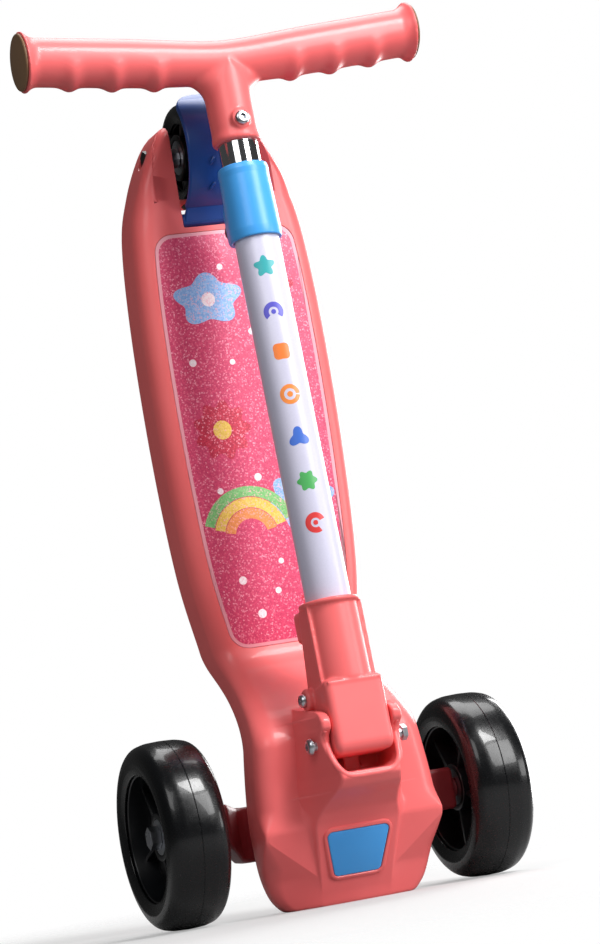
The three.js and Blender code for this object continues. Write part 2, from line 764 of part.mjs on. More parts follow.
// Steering bridge: a ribbed beam behind the nose whose ends carry the front axles.
const bridgeFront = noseBack + bridgeClear;
const bridgeBack = bridgeFront + bridgeDepth;
const armEnd = track / 2 - bridgeArmInset;
const bridgeHalf = track / 2 - wheelWidth;
const armStart = bridgeHalf + armBossRadius - bridgeWall;
const axleHeadSeat = armStart + runningGap;
const bridgeFoot = bridgeCentre - bridgeHeight / 2;
const bridgeHead = bridgeCentre + bridgeHeight / 2;
const armFoot = wheelRadius - armEndHeight / 2;
const armHead = wheelRadius + armEndHeight / 2;

// The half outline runs from the middle line out and back to it; the other half is its mirror image.
function mirroredShape(half) {
  const mirrored = half.slice(1, -1).reverse().map(([u, v]) => [-u, v]);
  return polygon([...half, ...mirrored]);
}

// The beam as seen along Y cut by the beam as seen from above, with its back face moved by backShift.
function bridgeBody(inset, backShift) {
  const face = mirroredShape([
    [0, bridgeFoot + inset], [bridgeHalf, bridgeFoot + inset], [armStart, armFoot - armShoulder + inset],
    [armEnd - inset, armFoot + inset], [armEnd - inset, armHead - inset], [armStart, armHead - inset],
    [bridgeHalf, bridgeHead - inset], [0, bridgeHead - inset],
  ]);
  const plan = mirroredShape([
    [0, bridgeFront + inset], [bridgeHalf - wall, bridgeFront + inset],
    [armStart + inset / 2, inset - armBossRadius], [armEnd - inset, inset - armBossRadius],
    [armEnd - inset, armBossRadius + backShift], [armStart + armShoulder, armBossRadius + backShift],
    [bridgeHalf, bridgeBack + backShift], [0, bridgeBack + backShift],
  ]);
  return alongY(face, -track, track).intersect(alongZ(plan, 0, track));
}

function bridgeRibs() {
  const ribs = [-2, -1, 1, 2].map((i) => {
    const x = (i * bridgeHalf) / 2;
    return block(x - ribWall / 2, x + ribWall / 2, bridgeFront, bridgeBack, 0, deckWidth);
  });
  ribs.push(block(-bridgeHalf, bridgeHalf, bridgeFront, bridgeBack - ribSetback,
    kingpinHeight - ribWall / 2, kingpinHeight + ribWall / 2));
  return joined(ribs).intersect(bridgeBody(bridgeWall / 2, 0));
}

function steeringBridge() {
  const axleFrame = at(0, 0, wheelRadius);
  const ends = [-1, 1].flatMap((side) => [
    turned('x', rodProfile(armBossRadius, side * axleHeadSeat, side * (armEnd - bridgeWall / 2)), pipeFacets,
      axleFrame),
    turned('x', rodProfile(axleSpacerRadius, side * (armEnd - bridgeWall), side * (track / 2 - hubInner)),
      boltFacets, axleFrame),
  ]);
  const hub = turned('y', rodProfile(bridgeHubRadius, bridgeHubStart, bridgeHubStart + bridgeHubLength),
    pipeFacets, kingpinFrame);
  const shell = bridgeBody(0, 0).subtract(bridgeBody(bridgeWall, overrun));
  return cutBy(joined([shell, bridgeRibs(), hub, ...ends]), [
    turned('y', rodProfile(bushRadius + gap, -track, track), pipeFacets, kingpinFrame),
    turned('x', rodProfile(boltRadius + gap, -track, track), boltFacets, axleFrame),
    turned('x', rodProfile(boltHeadRadius + runningGap, -axleHeadSeat, axleHeadSeat), boltFacets, axleFrame),
  ]);
}

// Fender: an arc over the rear wheel that grows from a hinge barrel at its foot.
function fenderSolid() {
  const inner = rearRadius + fenderGap;
  const outer = inner + fenderWall;
  const foot = THREE.MathUtils.degToRad(fenderFootAngle);
  const tail = THREE.MathUtils.degToRad(fenderTailAngle);
  const arc = (radius, from, to) => Array.from({ length: fenderSteps + 1 }, (_, i) => {
    const angle = from + (i / fenderSteps) * (to - from);
    return [rearAxleY - radius * Math.cos(angle), rearAxleZ + radius * Math.sin(angle)];
  });
  const shell = alongX(polygon([
    [fenderPinY - fenderBarrelRadius, fenderPinZ], ...arc(outer, -foot, tail), ...arc(inner, tail, -foot),
    [fenderPinY + fenderBarrelRadius / 2, fenderPinZ],
  ]), -fenderHalfWidth, fenderHalfWidth);
  const barrel = turned('x', rodProfile(fenderBarrelRadius, -wellHalfWidth + runningGap,
    wellHalfWidth - runningGap), boltFacets, fenderPinFrame);
  return cutBy(shell.add(barrel), [
    turned('x', rodProfile(fenderPinRadius + gap, -deckWidth, deckWidth), boltFacets, fenderPinFrame),
    turned('x', rodProfile(fenderBarrelRadius + runningGap, -fenderSpringHalf, fenderSpringHalf), pipeFacets,
      fenderPinFrame),
  ]);
}

// Stem base: the folding knuckle below, the socket for the outer tube above.
function stemBase() {
  const knuckle = alongX(roundedPolygon([
    [-knuckleFront, -knuckleFoot], [-knuckleFront, knuckleRidge + wall], [knuckleBack, knuckleRidge + wall],
    [knuckleBack, -knuckleFoot],
  ], knuckleCorner), -knuckleHalfWidth, knuckleHalfWidth);
  const socket = turned('z', rodProfile(socketRadius, knuckleRidge - wall, socketTop), pipeFacets);
  const flange = turned('z', rodProfile(socketFlange, socketTop - flangeHeight, socketTop), pipeFacets);
  const sides = alongX(polygon([
    [-leverThickness, knuckleRidge], [-leverThickness, socketTop - flangeHeight],
    [sideBackTop, socketTop - flangeHeight], [sideBack, knuckleRidge], [knuckleBack, leverPinHeight - wall],
  ]), -socketRadius, socketRadius);
  const leverPinAt = at(0, leverPinBack, leverPinHeight);
  const lug = knuckleHalfWidth + leverLugProud;
  const lugs = turned('x', rodProfile(leverLugRadius, -lug, lug), boltFacets, leverPinAt);
  const slot = leverHalfWidth + runningGap;
  const slotFront = foldBushRadius + wall - runningGap;
  const barrel = turned('x', rodProfile(foldBushRadius + gap + wall, -knuckleHalfWidth, knuckleHalfWidth),
    pipeFacets);
  const webs = [-1, 1].map((side) => block(side < 0 ? -slot - wall : slot, side < 0 ? -slot : slot + wall,
    -knuckleFront, knuckleBack, -knuckleFoot, knuckleRidge));
  const hollow = cutBy(block(-knuckleHalfWidth + wall, knuckleHalfWidth - wall, -knuckleFront + wall,
    knuckleBack - wall, -knuckleFoot - overrun, knuckleRidge - wall), [barrel, ...webs, lugs]);
  return cutBy(joined([knuckle, socket, flange, sides, lugs]), [
    hollow,
    turned('z', rodProfile(tubeRadius + gap, tubeSeat, socketTop + overrun), pipeFacets),
    turned('x', rodProfile(foldBushRadius + gap, -deckWidth, deckWidth), pipeFacets),
    turned('x', rodProfile(leverPinRadius + gap, -deckWidth, deckWidth), boltFacets, leverPinAt),
    block(-slot, slot, slotFront, sideBack + overrun, -knuckleFoot - overrun, knuckleRidge + wall),
    block(-slot, slot, leverPinBack - leverLugRadius, sideBack + overrun,
      leverPinHeight - leverLugRadius * 2, knuckleRidge + wall),
    block(-slot, slot, socketRadius + gap, sideBack + overrun, knuckleRidge, socketTop + overrun),
    turned('x', rodProfile(leverLugRadius + gap, slot - gap, slot + leverSpringLength + gap), pipeFacets,
      leverPinAt),
    block(slot - gap, slot + leverSpringLength + gap, leverPinBack, sideBack + overrun,
      leverPinHeight - leverLugRadius, leverPinHeight + leverLugRadius),
  ]);
}

// Release lever, drawn from its pin: a shank down to the latch tooth, an arm up to the thumb pad.
function leverSolid() {
  const back = sideBack - leverPinBack - runningGap;
  const padFoot = socketTop - flangeHeight - leverPinHeight - leverPadHeight;
  const padHead = socketTop - leverPinHeight;
  const tooth = [knuckleFront - leverPinBack, -knuckleFront - leverPinHeight];
  const hub = leverLugRadius - runningGap;
  const shank = alongX(polygon([
    [gap, 0], [gap, -leverPinHeight], [tooth[0] - leverThickness / 2, tooth[1] - leverThickness / 4],
    [tooth[0] + leverThickness / 4, tooth[1] - leverThickness / 4], [leverThickness, -leverPinHeight],
    [leverThickness, 0],
  ]), -leverHalfWidth, leverHalfWidth);
  const arm = alongX(polygon([
    [0, 0], [hub, 0], [back + leverThickness, leverThickness * 3], [back + leverThickness, padHead],
    [back, padHead], [back, leverThickness * 2], [hub + gap, hub], [0, hub],
  ]), -leverHalfWidth, leverHalfWidth).add(shank)
    .add(turned('x', rodProfile(hub, -leverHalfWidth, leverHalfWidth), boltFacets));
  const pad = (inset) => alongX(roundedPolygon([
    [back + inset, padFoot - inset * 2], [back + inset, padHead - inset],
    [back + leverThickness + inset, padHead - inset],
    [back + leverPadReach - inset, padHead - leverPadReach / 2],
    [back + leverPadReach - inset, padFoot - inset * 2],
  ], leverThickness / 2), -leverPadHalfWidth + inset, leverPadHalfWidth - inset);
  return arm.add(pad(0)).subtract(pad(leverThickness / 2))
    .add(alongX(polygon([[back, padFoot], [back, padHead], [back + leverThickness, padHead],
      [back + leverThickness, padFoot]]), -leverHalfWidth, leverHalfWidth))
    .subtract(turned('x', rodProfile(leverPinRadius + gap, -deckWidth, deckWidth), boltFacets));
}

function stemTube() {
  return turned('z', pipeProfile(tubeRadius - tubeWall, tubeRadius, tubeSeat + gap, tubeTop), pipeFacets)
    .subtract(turned('y', rodProfile(holeRadius, 0, lobeBack), boltFacets, lockFrame));
}

// The inner tube has a row of holes on its back for the height lock and one through for the neck screw.
function innerTube() {
  const holes = Array.from({ length: holeCount }, (_, i) =>
    turned('y', rodProfile(holeRadius, 0, lobeBack), boltFacets, at(0, 0, lockHeight - i * holePitch)));
  return cutBy(turned('z', pipeProfile(innerTubeRadius - innerTubeWall, innerTubeRadius, innerTubeFoot,
    innerTubeTop), pipeFacets), [
    ...holes,
    turned('y', rodProfile(neckScrewRadius + gap, -lobeBack, lobeBack), boltFacets, neckScrewFrame),
  ]);
}

// Clamp collar with the lobe that houses the height lock.
function collarSolid() {
  const sleeve = turned('z', [
    [collarFoot, 0], [collarFoot, collarFootRadius], [collarTop, collarTopRadius], [collarTop, 0],
  ], pipeFacets);
  const lobe = alongX(roundedPolygon([
    [0, collarFoot + gap], [lobeBack, collarFoot + wall], [lobeBack, lockHeight + lockKnobRadius + wall],
    [tubeRadius, collarTop - collarLip],
    [0, collarTop - collarLip],
  ], wall), -lobeHalfWidth, lobeHalfWidth);
  return cutBy(sleeve.add(lobe), [
    turned('z', rodProfile(tubeRadius + gap, collarFoot - overrun, collarTop - collarLip), pipeFacets),
    turned('z', rodProfile(innerTubeRadius + gap, collarFoot, collarTop + overrun), pipeFacets),
    turned('y', rodProfile(lockPinRadius + gap, 0, lobeBack + overrun), boltFacets, lockFrame),
    turned('y', rodProfile(plungerRadius + 2 * gap, 0, lobeBack - lobeWall), boltFacets, lockFrame),
  ]);
}

// Handlebar: arms with bumps under each grip, a neck over the inner tube, and a web in each corner.
function armRadius(x, under) {
  const fromEnd = barHalfLength - Math.abs(x);
  if (fromEnd < barFlangeLength) return barFlangeRadius;
  const swell = smoothStep(0, barHalfLength / 2, Math.abs(x));
  const grown = barRootRadius + (barGripRadius - barRootRadius) * swell;
  const bumps = Array.from({ length: bumpCount },
    (_, i) => (fromEnd - firstBump - i * bumpPitch) / bumpSpread);
  const bump = bumps.reduce((sum, off) => sum + Math.exp(-off * off), 0);
  return grown + bumpHeight * bump * Math.max(0, under);
}

function barRing(x, radiusAt) {
  const rise = barRise * (x / barHalfLength) ** 2;
  return Array.from({ length: barSides }, (_, i) => {
    const angle = (i / barSides) * 2 * Math.PI;
    const radius = radiusAt(-Math.sin(angle));
    return new THREE.Vector3(x, radius * Math.cos(angle), barHeight + rise + radius * Math.sin(angle));
  });
}

function barArms() {
  const half = [0, barHalfLength / bumpShares.length];
  for (let i = bumpCount - 1; i >= 0; i -= 1) {
    const centre = barHalfLength - firstBump - i * bumpPitch;
    bumpShares.forEach((share) => half.push(centre + share * bumpSpread));
  }
  half.push(barHalfLength - barFlangeLength - weld, barHalfLength - barFlangeLength + gap, barHalfLength);
  const whole = [...half.slice(1).reverse().map((x) => -x), ...half];
  return loft(whole.map((x) => barRing(x, (under) => armRadius(x, under))));
}

function neckWeb() {
  const side = neckRadius - wall + neckFillet;
  const top = barHeight - barRootRadius + wall;
  const corner = (way) => Array.from({ length: fenderSteps + 1 }, (_, i) => {
    const angle = (i / fenderSteps) * (Math.PI / 2);
    return [way * (side - neckFillet * Math.cos(angle)), top - wall - neckFillet * (1 - Math.sin(angle))];
  });
  return alongY(polygon([
    [-side, top], ...corner(-1).reverse(), ...corner(1), [side, top],
  ]), -neckWebHalf, neckWebHalf);
}

function handlebarSolid() {
  const neck = turned('z', rodProfile(neckRadius, neckFoot, barHeight), pipeFacets);
  const boss = turned('y', rodProfile(neckBossRadius, -neckBossReach, neckBossReach), pipeFacets,
    neckScrewFrame);
  const plugRoom = (side) => rodProfile(barBore, side * (barHalfLength - capPlug - overrun),
    side * (barHalfLength + overrun));
  const sockets = [-1, 1].map((side) => turned('x', plugRoom(side), pipeFacets, capFrame));
  return cutBy(joined([barArms(), neck, boss, neckWeb()]), [
    turned('z', rodProfile(innerTubeRadius + gap, neckFoot - overrun, innerTubeTop + gap), pipeFacets),
    turned('y', rodProfile(neckScrewRadius + gap, -deckWidth, deckWidth), boltFacets, neckScrewFrame),
    ...sockets,
  ]);
}

// Assembly
const scooter = new THREE.Group();
const coral = { color: '#f0706e', roughness: 0.4, metalness: 0 };
const darkRed = { color: '#8e2f33', roughness: 0.5, metalness: 0 };
const skyBlue = { color: '#3f9be8', roughness: 0.35, metalness: 0 };
const navy = { color: '#27509f', roughness: 0.35, metalness: 0 };
const pinkPrint = { color: '#e8548f', roughness: 0.4, metalness: 0 };
const lilac = { color: '#d9d4e6', roughness: 0.35, metalness: 0 };
const black = { color: '#16171b', roughness: 0.5, metalness: 0 };
const rubber = { color: '#16171b', roughness: 0.9, metalness: 0 };
const nylon = { color: '#3a3230', roughness: 0.6, metalness: 0 };
const steel = { color: '#c9ccd0', roughness: 0.3, metalness: 1 };
const chrome = { color: '#c9ccd0', roughness: 0.12, metalness: 1 };

addPiece(scooter, 'deck_body', makeDeck(), coral);
addPiece(scooter, 'deck_mat', alongY(matShape(0), deckTop + matRecess - gap - matThickness,
  deckTop + matRecess - gap), pinkPrint);

const chin = new THREE.Group();
chin.applyMatrix4(chinFrame);
scooter.add(chin);
addPiece(chin, 'nose_plate', alongY(plateShape(0), plateRecess - gap - plateThickness, plateRecess - gap),
  skyBlue);

// Kingpin, turned into its tilted place
const kingpin = new THREE.Group();
kingpin.applyMatrix4(kingpinFrame);
scooter.add(kingpin);
const hubBack = bridgeHubStart + bridgeHubLength;
const sleeve = pipeProfile(kingpinRadius + gap, sleeveRadius, bridgeHubStart - gap, hubBack);
addPiece(kingpin, 'kingpin_bolt', bolt('y', boltHeadRadius, boltHeadHeight, kingpinRadius,
  kingpinHeadSeat - gap, hubBack + nutHeight + gap), steel);
addPiece(kingpin, 'kingpin_sleeve', turned('y', sleeve, boltFacets), steel);
addPiece(kingpin, 'kingpin_nut', nut('y', nutRadius, kingpinRadius + gap, hubBack + gap,
  hubBack + nutHeight), steel);

// Front truck
const bridge = addGroup(scooter, 0, 0, 0);
addPiece(bridge, 'steering_bridge', steeringBridge(), darkRed);
const bushGroup = new THREE.Group();
bushGroup.applyMatrix4(kingpinFrame);
bridge.add(bushGroup);
addPiece(bushGroup, 'centring_bush', turned('y', pipeProfile(sleeveRadius + gap, bushRadius,
  bridgeHubStart + gap, hubBack - gap), pipeFacets), rubber);
[['left', -1], ['right', 1]].forEach(([name, side]) => {
  const axle = addGroup(bridge, (side * track) / 2, 0, wheelRadius);
  addPiece(axle, `axle_bolt_${name}`, bolt('x', boltHeadRadius, boltHeadHeight, boltRadius,
    side * (axleHeadSeat - gap - track / 2), side * (hubOuter + nutHeight + gap)), steel);
  addPiece(axle, `axle_nut_${name}`, nut('x', nutRadius, boltRadius + gap, side * hubOuter,
    side * (hubOuter + nutHeight)), steel);
  addPiece(axle, `axle_spacer_${name}`, turned('x', pipeProfile(bearingBore, axleSpacerRadius,
    side * (bearingWidth + 2 * gap - hubInner), side * (hubOuter - bearingWidth - 2 * gap)), boltFacets),
  steel);
  const wheel = addGroup(axle, 0, 0, 0);
  const [from, to] = side > 0 ? [-hubInner, hubOuter] : [-hubOuter, hubInner];
  addPiece(wheel, `front_tyre_${name}`, tyreSolid(wheelRadius, wheelWidth, rimRadius, rimWidth,
    wheelFacets), black);
  addPiece(wheel, `front_hub_${name}`, hubSolid(rimRadius, rimWall, rimWidth, from, to, wheelFacets),
    black);
  addBearings(wheel, name, from, to);
});

// Rear wheel with its axle, laid between the two prongs
const rearAxle = addGroup(scooter, 0, rearAxleY, rearAxleZ);
const rearSeat = prongFace + gap;
addPiece(rearAxle, 'rear_axle_bolt', bolt('x', boltHeadRadius, boltHeadHeight, boltRadius, -rearSeat,
  rearSeat + nutHeight), steel);
addPiece(rearAxle, 'rear_axle_nut', nut('x', nutRadius, boltRadius + gap, rearSeat,
  rearSeat + nutHeight - gap), steel);
[['left', -1], ['right', 1]].forEach(([name, side]) => {
  addPiece(rearAxle, `rear_spacer_${name}`, turned('x', pipeProfile(bearingBore, axleSpacerRadius,
    side * (rearBarrelHalf + gap), side * (wellHalfWidth - gap)), boltFacets), steel);
});
const rearWheel = addGroup(rearAxle, 0, 0, 0);
addPiece(rearWheel, 'rear_tyre', tyreSolid(rearRadius, rearWidth, rearRimRadius, rearRimWidth,
  pipeFacets), black);
addPiece(rearWheel, 'rear_hub', hubSolid(rearRimRadius, rearRimWall, rearRimWidth, -rearBarrelHalf,
  rearBarrelHalf, pipeFacets), black);
addBearings(rearWheel, 'rear', -rearBarrelHalf, rearBarrelHalf);

// Fender, its hinge pin and its spring
addPiece(scooter, 'rear_fender', fenderSolid(), navy);
const fenderPinGroup = addGroup(scooter, 0, fenderPinY, fenderPinZ);
addPiece(fenderPinGroup, 'fender_pin', turned('x', rodProfile(fenderPinRadius, gap - fenderPinHalf,
  fenderPinHalf - gap), boltFacets), steel);
const fenderCoil = fenderPinRadius + 3 * gap + strongWire / 2;
const fenderSpan = fenderSpringHalf - strongWire;
const fenderLegs = [
  [[-fenderSpan, fenderCoil, -fenderBarrelRadius]],
  [[fenderSpan, fenderCoil + gap, fenderCoil], [fenderSpan, (-fenderCoil * 2) / 3, fenderCoil * 2]],
];
addPiece(fenderPinGroup, 'fender_spring', coilSpring(fenderCoil, strongWire, -fenderSpan, fenderSpan,
  longSpringTurns, ...fenderLegs), steel);

// Stem, laid back against the deck
const stem = addGroup(scooter, 0, pivotY, pivotHeight);
stem.rotation.x = -leanAngle;
const foldSeat = earHalfWidth + gap;
addPiece(scooter, 'fold_bolt', bolt('x', foldHeadRadius, foldHeadHeight, foldBoltRadius, -foldSeat,
  foldSeat + foldHeadHeight + gap, at(0, pivotY, pivotHeight)), steel);
addPiece(scooter, 'fold_nut', nut('x', foldHeadRadius, foldBoltRadius + gap, foldSeat,
  foldSeat + foldHeadHeight, at(0, pivotY, pivotHeight)), steel);
addPiece(stem, 'stem_base', stemBase(), coral);
addPiece(stem, 'fold_bush', turned('x', pipeProfile(foldBoltRadius + gap, foldBushRadius,
  -knuckleHalfWidth - gap, knuckleHalfWidth + gap), boltFacets), nylon);
addPiece(stem, 'stem_tube', stemTube(), lilac);
addPiece(stem, 'collar', collarSolid(), skyBlue);

const leverPinGroup = addGroup(stem, 0, leverPinBack, leverPinHeight);
const lugFace = knuckleHalfWidth + leverLugProud;
addPiece(leverPinGroup, 'lever_pin', bolt('x', leverLugRadius - wall / 2, wall, leverPinRadius,
  -lugFace - gap, lugFace), steel);
const leverCoil = leverPinRadius + gap + strongWire / 2 + gap;
const leverCoilStart = leverHalfWidth + runningGap + strongWire / 2;
const leverCoilEnd = leverCoilStart + leverSpringLength - strongWire;
const leverLegs = [
  [[leverCoilStart, leverCoil, -leverCoil]], [[leverCoilEnd, leverCoil, leverCoil]],
];
addPiece(leverPinGroup, 'lever_spring', coilSpring(leverCoil, strongWire, leverCoilStart, leverCoilEnd,
  shortSpringTurns, ...leverLegs), steel);
const lever = addGroup(leverPinGroup, 0, 0, 0);
addPiece(lever, 'release_lever', leverSolid(), coral);

// Height lock in the collar's lobe
const lock = addGroup(stem, 0, 0, lockHeight);
const lockTip = innerTubeRadius + gap + gap / 3;
const plungerBack = tubeRadius + runningGap + plungerThickness;
const plungerFront = plungerBack - plungerThickness;
const knobFront = lobeBack + runningGap * 2;
const knobBack = knobFront + lockKnobLength;
const knobBevel = wall / 2;
addPiece(lock, 'height_pin', turned('y', [
  [lockTip, 0], [lockTip, lockPinRadius], [plungerFront, lockPinRadius], [plungerFront, plungerRadius],
  [plungerBack, plungerRadius], [plungerBack, lockPinRadius], [knobBack - knobBevel, lockPinRadius],
  [knobBack - knobBevel, 0],
], boltFacets), steel);
addPiece(lock, 'height_knob', turned('y', [
  [knobFront, lockPinRadius + gap], [knobFront, lockKnobRadius - knobBevel],
  [knobFront + knobBevel, lockKnobRadius], [knobBack - knobBevel, lockKnobRadius],
  [knobBack, lockKnobRadius - knobBevel], [knobBack, lockPinRadius + gap], [knobFront, lockPinRadius + gap],
], pipeFacets), black);
const lockCoil = coilSpring(lockPinRadius + gap + springWire / 2, springWire, plungerBack + springWire,
  lobeBack - lobeWall - springWire, longSpringTurns, [], []);
const springGroup = addGroup(lock, 0, 0, 0);
springGroup.rotation.z = Math.PI / 2;
addPiece(springGroup, 'lock_spring', lockCoil, steel);

// Handlebar with the inner tube, which slides in the outer one
const handlebar = addGroup(stem, 0, 0, 0);
addPiece(handlebar, 'inner_tube', innerTube(), chrome);
addPiece(handlebar, 'tube_guide', turned('z', [
  [innerTubeFoot - guideLength, 0], [innerTubeFoot - guideLength, innerTubeRadius],
  [innerTubeFoot - gap, innerTubeRadius], [innerTubeFoot - gap, innerTubeRadius - innerTubeWall - gap],
  [innerTubeFoot + guideLength, innerTubeRadius - innerTubeWall - gap], [innerTubeFoot + guideLength, 0],
], pipeFacets), nylon);
addPiece(handlebar, 't_bar', handlebarSolid(), coral);
const neckSeat = neckBossReach + gap;
addPiece(handlebar, 'neck_screw', bolt('y', neckScrewHead, wall, neckScrewRadius, -neckSeat,
  neckSeat + neckNutHeight + gap, neckScrewFrame), steel);
addPiece(handlebar, 'neck_nut', nut('y', neckScrewHead, neckScrewRadius + gap, neckSeat,
  neckSeat + neckNutHeight, neckScrewFrame), steel);
[['left', -1], ['right', 1]].forEach(([name, side]) => {
  const face = side * (barHalfLength + gap);
  const plug = side * (barHalfLength - capPlug);
  const cap = turned('x', [
    [plug, 0], [plug, barBore - gap], [face, barBore - gap], [face, capRadius],
    [face + side * capThickness, capRadius - capThickness / 2], [face + side * capThickness, 0],
  ], pipeFacets, capFrame);
  addPiece(handlebar, `end_cap_${name}`, cap, nylon);
});

// The part's origin is at the middle of its box, on the floor.
scooter.updateMatrixWorld(true);
const box = new THREE.Box3().setFromObject(scooter, true);
const middle = box.getCenter(new THREE.Vector3());
scooter.position.set(-middle.x, -middle.y, -box.min.z);

export default scooter;
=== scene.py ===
import json

import bmesh
import bpy
import numpy as np
from mathutils import Matrix, Vector


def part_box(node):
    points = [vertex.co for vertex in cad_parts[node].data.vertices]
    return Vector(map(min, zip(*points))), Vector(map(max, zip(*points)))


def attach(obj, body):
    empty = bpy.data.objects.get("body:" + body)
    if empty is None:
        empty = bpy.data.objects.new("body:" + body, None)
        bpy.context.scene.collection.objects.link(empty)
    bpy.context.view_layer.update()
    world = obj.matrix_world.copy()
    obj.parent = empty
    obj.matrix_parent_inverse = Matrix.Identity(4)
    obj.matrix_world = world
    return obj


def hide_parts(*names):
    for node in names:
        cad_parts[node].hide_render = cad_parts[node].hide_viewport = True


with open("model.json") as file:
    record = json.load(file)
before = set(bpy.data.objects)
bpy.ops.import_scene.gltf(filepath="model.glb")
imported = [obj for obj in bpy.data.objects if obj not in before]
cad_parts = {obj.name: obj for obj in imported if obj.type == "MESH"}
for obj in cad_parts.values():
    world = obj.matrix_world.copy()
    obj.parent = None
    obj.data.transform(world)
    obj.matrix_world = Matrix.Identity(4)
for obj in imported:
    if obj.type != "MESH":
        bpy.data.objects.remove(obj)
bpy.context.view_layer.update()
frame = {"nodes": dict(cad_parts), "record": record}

# Camera. It stands close to the floor and to the left of the photographed front, looks a little up
# the stem and is rolled, as the photographer held it.
photo_height, sensor_height = 944, 24
axle_low, axle_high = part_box("front_tyre_left")
axle_y = 500 * (axle_low[1] + axle_high[1])
yaw, pitch, roll = np.radians([20.45, -6.0, 9.65])
distance = 1.99
aim = np.array([0.0212, axle_y / 1000, 0.2667])
focal_share = 1.6
forward = np.array([np.sin(yaw) * np.cos(pitch), np.cos(yaw) * np.cos(pitch), -np.sin(pitch)])
level = np.array([np.cos(yaw), -np.sin(yaw), 0])
upright = np.cross(level, forward)
across = np.cos(roll) * level - np.sin(roll) * upright
upward = np.sin(roll) * level + np.cos(roll) * upright
camera_data = bpy.data.cameras.new("camera")
camera = bpy.data.objects.new("camera", camera_data)
bpy.context.scene.collection.objects.link(camera)
camera_data.sensor_fit = "VERTICAL"
camera_data.sensor_height = sensor_height
camera_data.lens = focal_share * distance * 1000 / photo_height * sensor_height
camera_data.clip_end = 50
axes = np.stack([across, upward, -forward, aim - forward * distance], 1)
camera.matrix_world = Matrix([*axes.tolist(), [0, 0, 0, 1]])
bpy.context.scene.camera = camera
bpy.context.scene.view_settings.view_transform = "Standard"

# Deck and nose, one injection moulding in glossy coral polypropylene: a shell open behind, with ribs
# inside and the head that holds the stem standing proud of the nose. The wheels, stem and fender are
# bolted to it. Lengths are in millimetres, from the front axle and the floor.
deck_length, deck_width = 498, 121
deck_top, deck_bottom = 8, 42
nose_front, nose_back = -50, -13
step_foot, step_length = 98, 68
rear_y, rear_z = 22.5, 478
chin_height, chin_setback, facet_slope = 48, 20, 0.3
nose_corner, deck_corner, tail_corner = 22, 13, 7
tip_radius, foot_radius, crown_radius = 10, 2, 5
wall, rib_wall, rib_pitch = 3, 2.4, 42
pivot_y, pivot_z, bowl_radius = -75, 95, 22
prong_start, back_curl = 427, 19
mat_foot, mat_head, mat_margin, mat_corner = 163, 426.4, 11.5, 13
nut_pocket, nut_seat = 5.9, 36.4
tilt = 28.3
outline_shares = np.array([
    [0, 0.7], [0.02, 0.83], [0.06, 0.93], [0.115, 0.955], [0.2, 0.885], [0.275, 0.77], [0.33, 0.82],
    [0.43, 0.94], [0.58, 1], [0.74, 1], [0.86, 0.94], [0.92, 0.81], [0.97, 0.62], [1, 0.44],
])


def placed(points, origin=(0, 0, 0), turn=0.0):
    """Points in millimetres, turned about X by turn degrees and moved to origin, given in metres in
    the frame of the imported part."""
    c, s = np.cos(np.radians(turn)), np.sin(np.radians(turn))
    x, y, z = np.moveaxis(np.asarray(points, float), -1, 0)
    turned_points = np.stack([x, c * y - s * z, s * y + c * z], -1)
    return (turned_points + np.array(origin) + np.array([0, axle_y, 0])) / 1000


def skin(name, sheets, sharp=35.0):
    """One mesh from sheets of points (rows x columns x 3, metres). Four neighbours make a face. Where
    a sheet's first and last columns meet, each of its end rows is filled by one flat face, unless
    the row is a pole or the rows meet too. Points on each other are merged and faces turned out."""
    vertices, quads, caps, start = [], [], [], 0
    for sheet in sheets:
        rows, columns = sheet.shape[:2]
        index = start + np.arange(rows * columns).reshape(rows, columns)
        corners = [index[:-1, :-1], index[:-1, 1:], index[1:, 1:], index[1:, :-1]]
        quads.append(np.stack(corners, -1).reshape(-1, 4))
        columns_meet = np.allclose(sheet[:, 0], sheet[:, -1], atol=1e-7)
        if columns_meet and not np.allclose(sheet[0], sheet[-1], atol=1e-7):
            caps += [index[row, :-1].tolist() for row in (0, -1) if np.ptp(sheet[row], axis=0).max() > 1e-6]
        vertices.append(sheet.reshape(-1, 3))
        start += rows * columns
    mesh = bpy.data.meshes.new(name)
    mesh.from_pydata(np.concatenate(vertices).tolist(), [], np.concatenate(quads).tolist() + caps)
    shape = bmesh.new()
    shape.from_mesh(mesh)
    bmesh.ops.remove_doubles(shape, verts=shape.verts, dist=2e-6)
    bmesh.ops.dissolve_degenerate(shape, edges=shape.edges, dist=1e-7)
    bmesh.ops.recalc_face_normals(shape, faces=shape.faces)
    shape.to_mesh(mesh)
    shape.free()
    mesh.shade_smooth()
    mesh.set_sharp_from_angle(angle=np.radians(sharp))
    piece = bpy.data.objects.new(name, mesh)
    bpy.context.scene.collection.objects.link(piece)
    return piece


